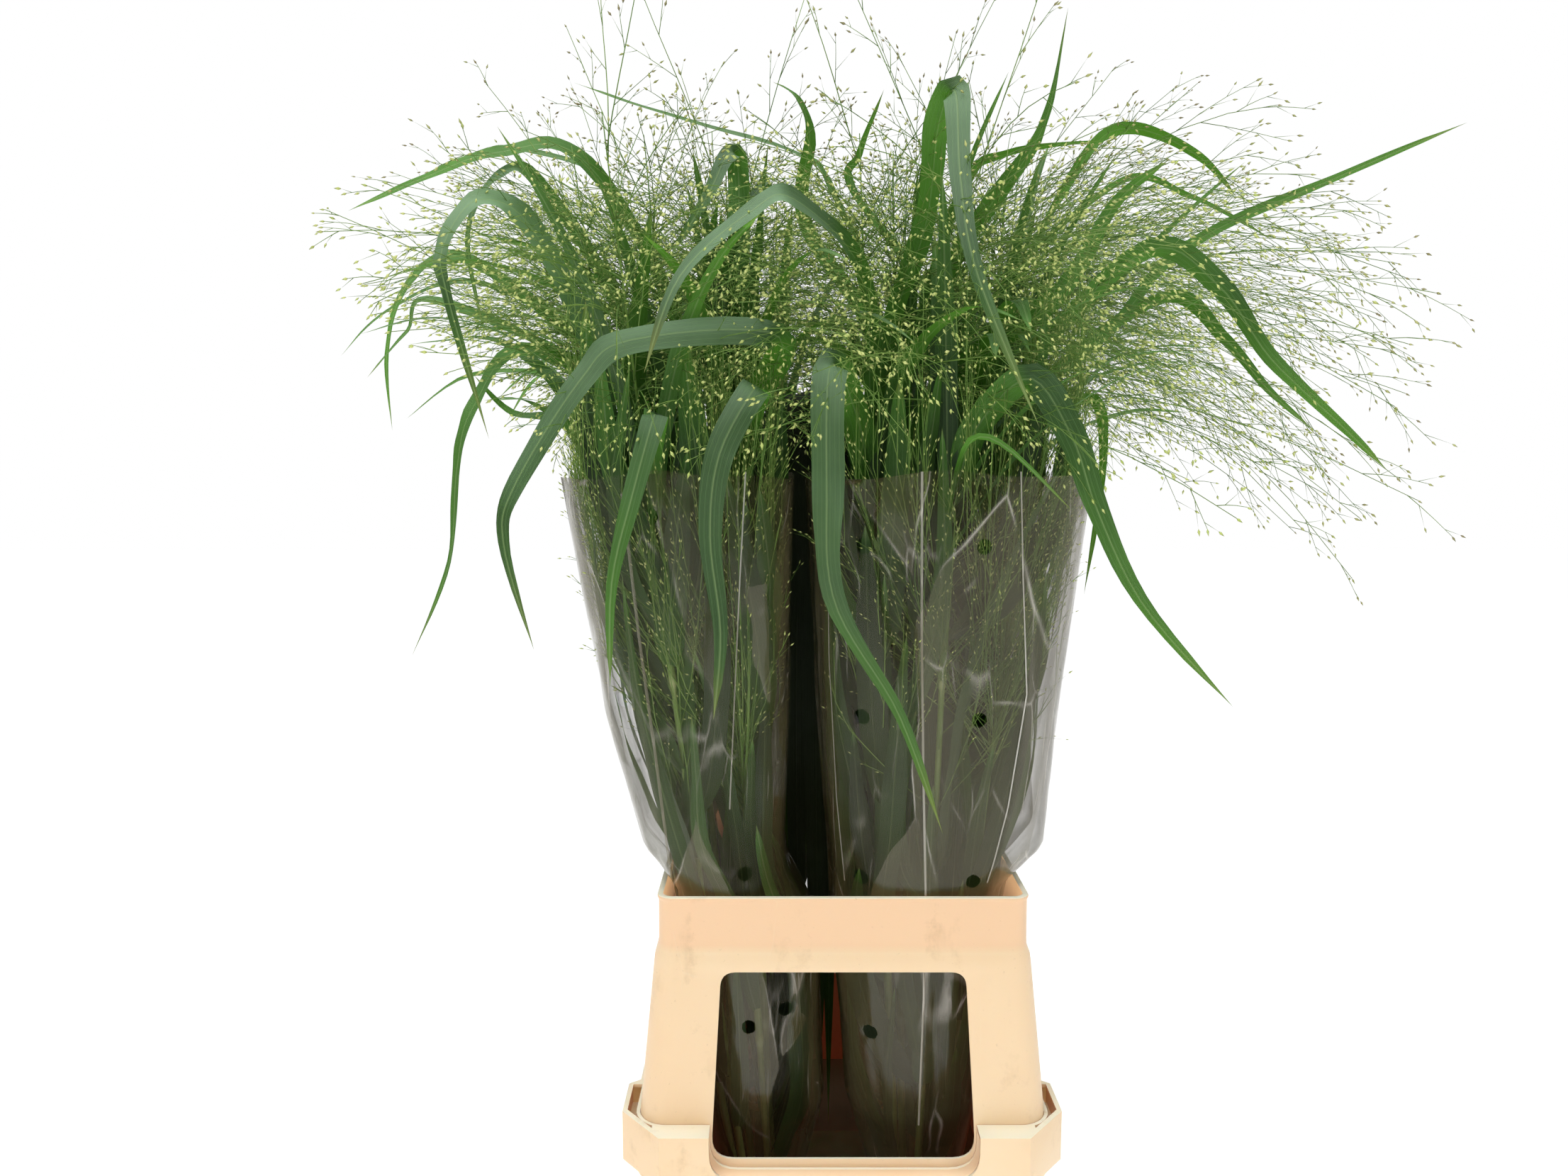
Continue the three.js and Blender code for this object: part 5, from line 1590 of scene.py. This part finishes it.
def punch(co, corners, outer, holes):
    """Moves the film's points next to each hole onto its edge, and says which faces the holes take away."""
    insides = [(np.hypot(co[:, :, 0] - x, co[:, :, 2] - z) < HOLE) & outer for x, z in holes]
    gone = np.any(insides, axis=0).ravel()[corners].any(axis=-1)
    flat = co.reshape(-1, 3)
    for inside, (x, z) in zip(insides, holes):
        if not inside.any():
            continue
        near = inside.ravel()[corners].any(axis=-1)
        edge = np.unique(corners[near])
        edge = edge[~inside.ravel()[edge]]
        away = flat[edge][:, [0, 2]] - [x, z]
        away *= (HOLE / np.linalg.norm(away, axis=1))[:, None]
        flat[edge, 0] = x + away[:, 0]
        flat[edge, 2] = z + away[:, 1]
    return gone


def add_seam(piece, bunch, fold, half):
    """A thin strip that lies on a fold."""
    z = np.linspace(fold[0][1], fold[-1][1], 60)
    x = np.interp(z, [p[1] for p in fold][::-1], [p[0] for p in fold][::-1])
    line = np.array([[px, front_y(bunch, px, pz) - 0.1, pz] for px, pz in zip(x, z)])
    across = ((-half, 0.1), (-0.4 * half, -0.4), (0.4 * half, -0.4), (half, 0.1))
    strip = np.stack([line + [dx, dy, 0] for dx, dy in across], axis=1)
    a = (np.arange(59)[:, None] * 4 + np.arange(3)).ravel()
    piece.add(strip, np.stack([a, a + 1, a + 5, a + 4], axis=-1), paint=1)


def dress_sleeves(film, seam):
    """One piece for each sleeve, with its holes and seams."""
    for name, bunch in BUNCHES.items():
        face = name.split("_")[0]
        columns, rows = FILM_FACES[face]
        co = film_points(name, bunch, columns, rows)
        middle_y = np.array([sleeve_at(bunch["sleeve"], z)[1] for z in co[:, 0, 2]])[:, None]
        outer = co[:, :, 1] < middle_y if face == "front" else co[:, :, 1] > middle_y
        i, j = np.meshgrid(np.arange(rows), np.arange(columns), indexing="ij")
        low, high, k = i * columns, (i + 1) * columns, (j + 1) % columns
        corners = np.stack([low + j, low + k, high + k, high + j], axis=-1)
        faces = corners[~punch(co, corners, outer, HOLES[name])].reshape(-1, 4)
        used = np.unique(faces)
        renumber = np.zeros((rows + 1) * columns, int)
        renumber[used] = np.arange(len(used))
        piece = Piece()
        piece.add(co.reshape(-1, 3)[used], renumber[faces])
        for index, half in SEAMS.get(name, []):
            add_seam(piece, bunch, FOLDS[name][index], half)
        settle(piece.build(f"film_{name}", [film, seam]), "film", f"sleeve_{name}")


# Bucket and collar

WALL, FLOOR = 2.6, 3
RIM_HALF, RIM_TOP, RIM_CHAMFER, RIM_WAIST = (155, 200), 220, (29, 34), 147
BLOCK_END = (129, 123)
POCKET = {"floor": 206, "wall": 3.4, "x": (132, 160), "y": (130, 195)}
APRON_FOOT = 184
MOUTH_HALF, MOUTH_RADIUS = (142.5, 183.5), 20
SEAT_Z, SHELF = 180, 4
BASE_HALF, BASE_RADIUS = (124, 174), 16
NOTCH_HALF, NOTCH_Z, NOTCH_RADIUS = 92, 189, 19
COLLAR_WALL = 2.2
WINDOW = {"top": 325, "foot": 195, "half_top": 84.5, "half_foot": 91.5, "radius_top": 10, "radius_foot": 16}

# Rings of the collar's outside: height, half sizes and corner radius. Some have none beside them inside
COLLAR_OUTSIDE = [
    (180.3, 142.2, 183.2, 19.7), (222, 142.2, 183.2, 19.7), (330, 131.9, 172.7, 15.2),
    (334, 131.3, 172.1, 14.6), (337.5, 129.9, 170.7, 13), (341, 128.7, 169.6, 11.2),
    (345, 128.5, 169.4, 11), (373, 128.2, 169.2, 10), (374.2, 128.6, 169.6, 10.4),
    (375, 129.1, 170.1, 11), (376.2, 129.2, 170.2, 11), (376.8, 128.8, 169.8, 10.7),
    (377, 128.2, 169.2, 10.2),
]
OUTSIDE_ONLY = (376.8, 376.2, 375, 374.2)
CORNER_STEPS = 9


def round_ring(z, half_x, half_y, radius, steps=CORNER_STEPS):
    ring = []
    for quarter, (sx, sy) in enumerate(((1, 1), (-1, 1), (-1, -1), (1, -1))):
        for i in range(steps + 1):
            angle = (quarter + i / steps) * math.pi / 2
            ring.append((sx * (half_x - radius) + radius * math.cos(angle),
                         sy * (half_y - radius) + radius * math.sin(angle), z))
    return ring


def ring_solid(name, rings, loop=False):
    n = len(rings[0])
    bands = len(rings) if loop else len(rings) - 1
    faces = []
    for i in range(bands):
        k = (i + 1) % len(rings)
        faces += [(i * n + j, i * n + (j + 1) % n, k * n + (j + 1) % n, k * n + j) for j in range(n)]
    if not loop:
        faces.append(tuple(range(n))[::-1])
        faces.append(tuple((len(rings) - 1) * n + j for j in range(n)))
    return solid(name, [p for ring in rings for p in ring], faces)


def solid(name, points, faces):
    mesh = bpy.data.meshes.new(name)
    mesh.from_pydata([Vector(p) * MM for p in points], [], faces)
    shape = bmesh.new()
    shape.from_mesh(mesh)
    bmesh.ops.recalc_face_normals(shape, faces=shape.faces)
    shape.to_mesh(mesh)
    shape.free()
    return link(bpy.data.objects.new(name, mesh))


def prism(name, outline, foot, top):
    n = len(outline)
    points = [(x, y, foot) for x, y in outline] + [(x, y, top) for x, y in outline]
    faces = [tuple(range(n))[::-1], tuple(range(n, 2 * n))]
    faces += [(j, (j + 1) % n, n + (j + 1) % n, n + j) for j in range(n)]
    return solid(name, points, faces)


def freeze(thing):
    """Applies a thing's modifiers."""
    bpy.context.view_layer.update()
    graph = bpy.context.evaluated_depsgraph_get()
    mesh = bpy.data.meshes.new_from_object(thing.evaluated_get(graph))
    thing.modifiers.clear()
    thing.data = mesh


def combine(thing, other, operation):
    modifier = thing.modifiers.new("cut", "BOOLEAN")
    modifier.operation = operation
    modifier.solver = "EXACT"
    modifier.object = other
    freeze(thing)
    bpy.data.objects.remove(other)


def soften(thing, width, segments=2, angle=32):
    """Rounds the hard edges and smooths the shading between them."""
    shape = bmesh.new()
    shape.from_mesh(thing.data)
    bmesh.ops.remove_doubles(shape, verts=shape.verts, dist=2e-5)
    bmesh.ops.dissolve_limit(shape, angle_limit=math.radians(0.8), verts=shape.verts, edges=shape.edges)
    shape.to_mesh(thing.data)
    shape.free()
    bevel = thing.modifiers.new("edge", "BEVEL")
    bevel.width = width * MM
    bevel.segments = segments
    bevel.limit_method = "ANGLE"
    bevel.angle_limit = math.radians(angle)
    bevel.use_clamp_overlap = True
    freeze(thing)
    thing.data.shade_smooth()
    thing.data.set_sharp_from_angle(angle=math.radians(38))


def coat(thing, material):
    """Gives a thing this material only."""
    thing.data.materials.clear()
    thing.data.materials.append(material)


def rim_outline(inset):
    x, y = RIM_HALF[0] - inset, RIM_HALF[1] - inset
    lean = inset * 0.42
    quarter = [
        (RIM_WAIST - inset, BLOCK_END[1] - lean), (x, BLOCK_END[0] - lean),
        (x, y - RIM_CHAMFER[1] + lean), (x - RIM_CHAMFER[0] + lean, y),
    ]

    def turned(sx, sy):
        return [(sx * px, sy * py) for px, py in quarter]

    return turned(1, 1) + turned(-1, 1)[::-1] + turned(-1, -1) + turned(1, -1)[::-1]


def curve_corner(start, bend, end, steps=7):
    t = np.linspace(0, 1, steps)[:, None]
    a, b, c = (np.array(p, float) for p in (start, bend, end))
    return [tuple(p) for p in (1 - t) ** 2 * a + 2 * t * (1 - t) * b + t ** 2 * c]


def through_cut(name, top, foot, half_top, half_foot, radius_top, radius_foot):
    lean = (half_foot - half_top) / (top - foot)

    def half(z):
        return half_foot - lean * (z - foot)

    low, high = foot + radius_foot, top - radius_top
    right = curve_corner((half_foot - radius_foot, foot), (half_foot, foot), (half(low), low))
    right += curve_corner((half(high), high), (half_top, top), (half_top - radius_top, top))
    outline = right + [(-x, z) for x, z in right[::-1]]
    depth = RIM_HALF[1] + 10
    n = len(outline)
    points = [(x, -depth, z) for x, z in outline] + [(x, depth, z) for x, z in outline]
    faces = [tuple(range(n)), tuple(range(n, 2 * n))[::-1]]
    faces += [(j, (j + 1) % n, n + (j + 1) % n, n + j) for j in range(n)]
    return solid(name, points, faces)


def cut_pocket(tub, corner, wall_rings):
    """Closes the foot of a corner block and opens its pocket."""
    (near_x, far_x), (near_y, far_y) = ([side * v for v in POCKET[k]] for side, k in zip(corner, "xy"))
    square = [(near_x, near_y), (far_x, near_y), (far_x, far_y), (near_x, far_y)]
    for inset, foot, top, operation in ((1, POCKET["floor"] - WALL, POCKET["floor"], "UNION"),
                                        (POCKET["wall"], POCKET["floor"], RIM_TOP + 5, "DIFFERENCE")):
        block = prism("block", rim_outline(inset), foot, top)
        combine(block, prism("corner", square, APRON_FOOT, RIM_TOP + 6), "INTERSECT")
        if operation == "DIFFERENCE":
            combine(block, ring_solid("wall", wall_rings), "DIFFERENCE")
        combine(tub, block, operation)


def dress_bucket(material):
    mx, my = MOUTH_HALF
    bx, by = BASE_HALF
    outer = ring_solid("outer", [
        round_ring(0, bx - 2.5, by - 2.5, BASE_RADIUS - 2.5),
        round_ring(0.8, bx - 0.8, by - 0.8, BASE_RADIUS - 0.8),
        round_ring(3, bx, by, BASE_RADIUS),
        round_ring(SEAT_Z - 8, mx - SHELF + WALL, my - SHELF + WALL, MOUTH_RADIUS),
        round_ring(SEAT_Z - 2, mx + WALL, my + WALL, MOUTH_RADIUS + WALL),
        round_ring(RIM_TOP - 1, mx + WALL, my + WALL, MOUTH_RADIUS + WALL),
    ])
    inner = ring_solid("inner", [
        round_ring(FLOOR, bx - WALL, by - WALL, BASE_RADIUS - WALL),
        round_ring(SEAT_Z, mx - SHELF, my - SHELF, MOUTH_RADIUS - SHELF),
        round_ring(SEAT_Z, mx, my, MOUTH_RADIUS), round_ring(RIM_TOP + 5, mx, my, MOUTH_RADIUS),
    ])
    tub = prism("bucket_tub", rim_outline(0), APRON_FOOT, RIM_TOP)
    combine(tub, prism("hollow", rim_outline(WALL), APRON_FOOT - 5, RIM_TOP - WALL), "DIFFERENCE")
    combine(tub, outer, "UNION")
    wall_rings = [round_ring(z, mx + WALL, my + WALL, MOUTH_RADIUS + WALL) for z in (APRON_FOOT, RIM_TOP + 9)]
    for corner in ((-1, -1), (-1, 1), (1, -1), (1, 1)):
        cut_pocket(tub, corner, wall_rings)
    combine(tub, inner, "DIFFERENCE")
    notch = through_cut("notch", RIM_TOP + 20, NOTCH_Z, NOTCH_HALF, NOTCH_HALF, 2, NOTCH_RADIUS)
    combine(tub, notch, "DIFFERENCE")
    soften(tub, 0.8)
    coat(tub, material)
    settle(tub, "bucket_plastic", "bucket")


def dress_collar(material):
    outside = [round_ring(*row) for row in COLLAR_OUTSIDE]
    inside = []
    for z, x, y, r in COLLAR_OUTSIDE[::-1]:
        wall = COLLAR_WALL + (1 if z > 375 else 0.4 if z > 372 else 0)
        if z not in OUTSIDE_ONLY:
            inside.append(round_ring(z, x - wall, y - wall, max(r - wall, 4)))
    shell = ring_solid("collar_frame", outside + inside, loop=True)
    combine(shell, through_cut("window", **WINDOW), "DIFFERENCE")
    soften(shell, 0.7)
    coat(shell, material)
    settle(shell, "collar_plastic", "collar")


# Rubber bands: steps along and round them, height of their middle, half thickness and half width, and the
# waves in their height
BAND = {"along": 72, "round": 12, "z": 88, "half": (0.72, 3.5), "wave": 0.4, "clear": 1.2}


def rounded(value, power):
    return math.copysign(abs(value) ** power, value)


def dress_bands(material):
    """A flat rubber band with round edges and slight waves round the stems of each bunch."""
    for name, bunch in BUNCHES.items():
        cx, cy, _, _ = sleeve_at(bunch["sleeve"], 100)
        inside = CLUSTER + CULM[0] + GAP
        rings = []
        for i in range(BAND["along"]):
            angle = i / BAND["along"] * 2 * math.pi
            rise = BAND["wave"] * math.sin(3 * angle + len(name))
            ring = []
            for k in range(BAND["round"]):
                turn = k / BAND["round"] * 2 * math.pi
                r = inside + BAND["clear"] + BAND["half"][0] * rounded(math.cos(turn), 0.7)
                z = BAND["z"] + rise + BAND["half"][1] * rounded(math.sin(turn), 0.6)
                ring.append((cx + r * math.cos(angle), cy + r * math.sin(angle), z))
            rings.append(ring)
        thing = ring_solid(f"rubber_{name}", rings, loop=True)
        thing.data.shade_smooth()
        coat(thing, material)
        settle(thing, "band", f"band_{name}")


# The whole

look()
light_and_floor()
growth, grown = grow_stems()
cells = Grid(growth)
add_drawn_leaves(cells, grown, random_source(73))
add_pressed_leaves(cells, grown, random_source(71))
add_fill_leaves(cells, grown, random_source(72))
dress_stems(grown, [blade_material(), culm_material()])
dress_panicles(grown, [hair_material(), spikelet_material()])
dress_sleeves(film_material("sleeve_film", 0.08, 0.42, rgb(92, 82, 52)),
              film_material("sleeve_seam", 0.5, 0.9, rgb(212, 210, 200)))
dress_bucket(plastic("bucket_cream", rgb(252, 224, 186), rgb(250, 216, 174), rgb(196, 164, 118),
                     rgb(252, 224, 186)))
dress_collar(plastic("collar_cream", rgb(251, 221, 182), rgb(249, 214, 173), rgb(194, 160, 118),
                     rgb(248, 208, 168)))
dress_bands(rubber_material())
coat(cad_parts["water"], water_material())
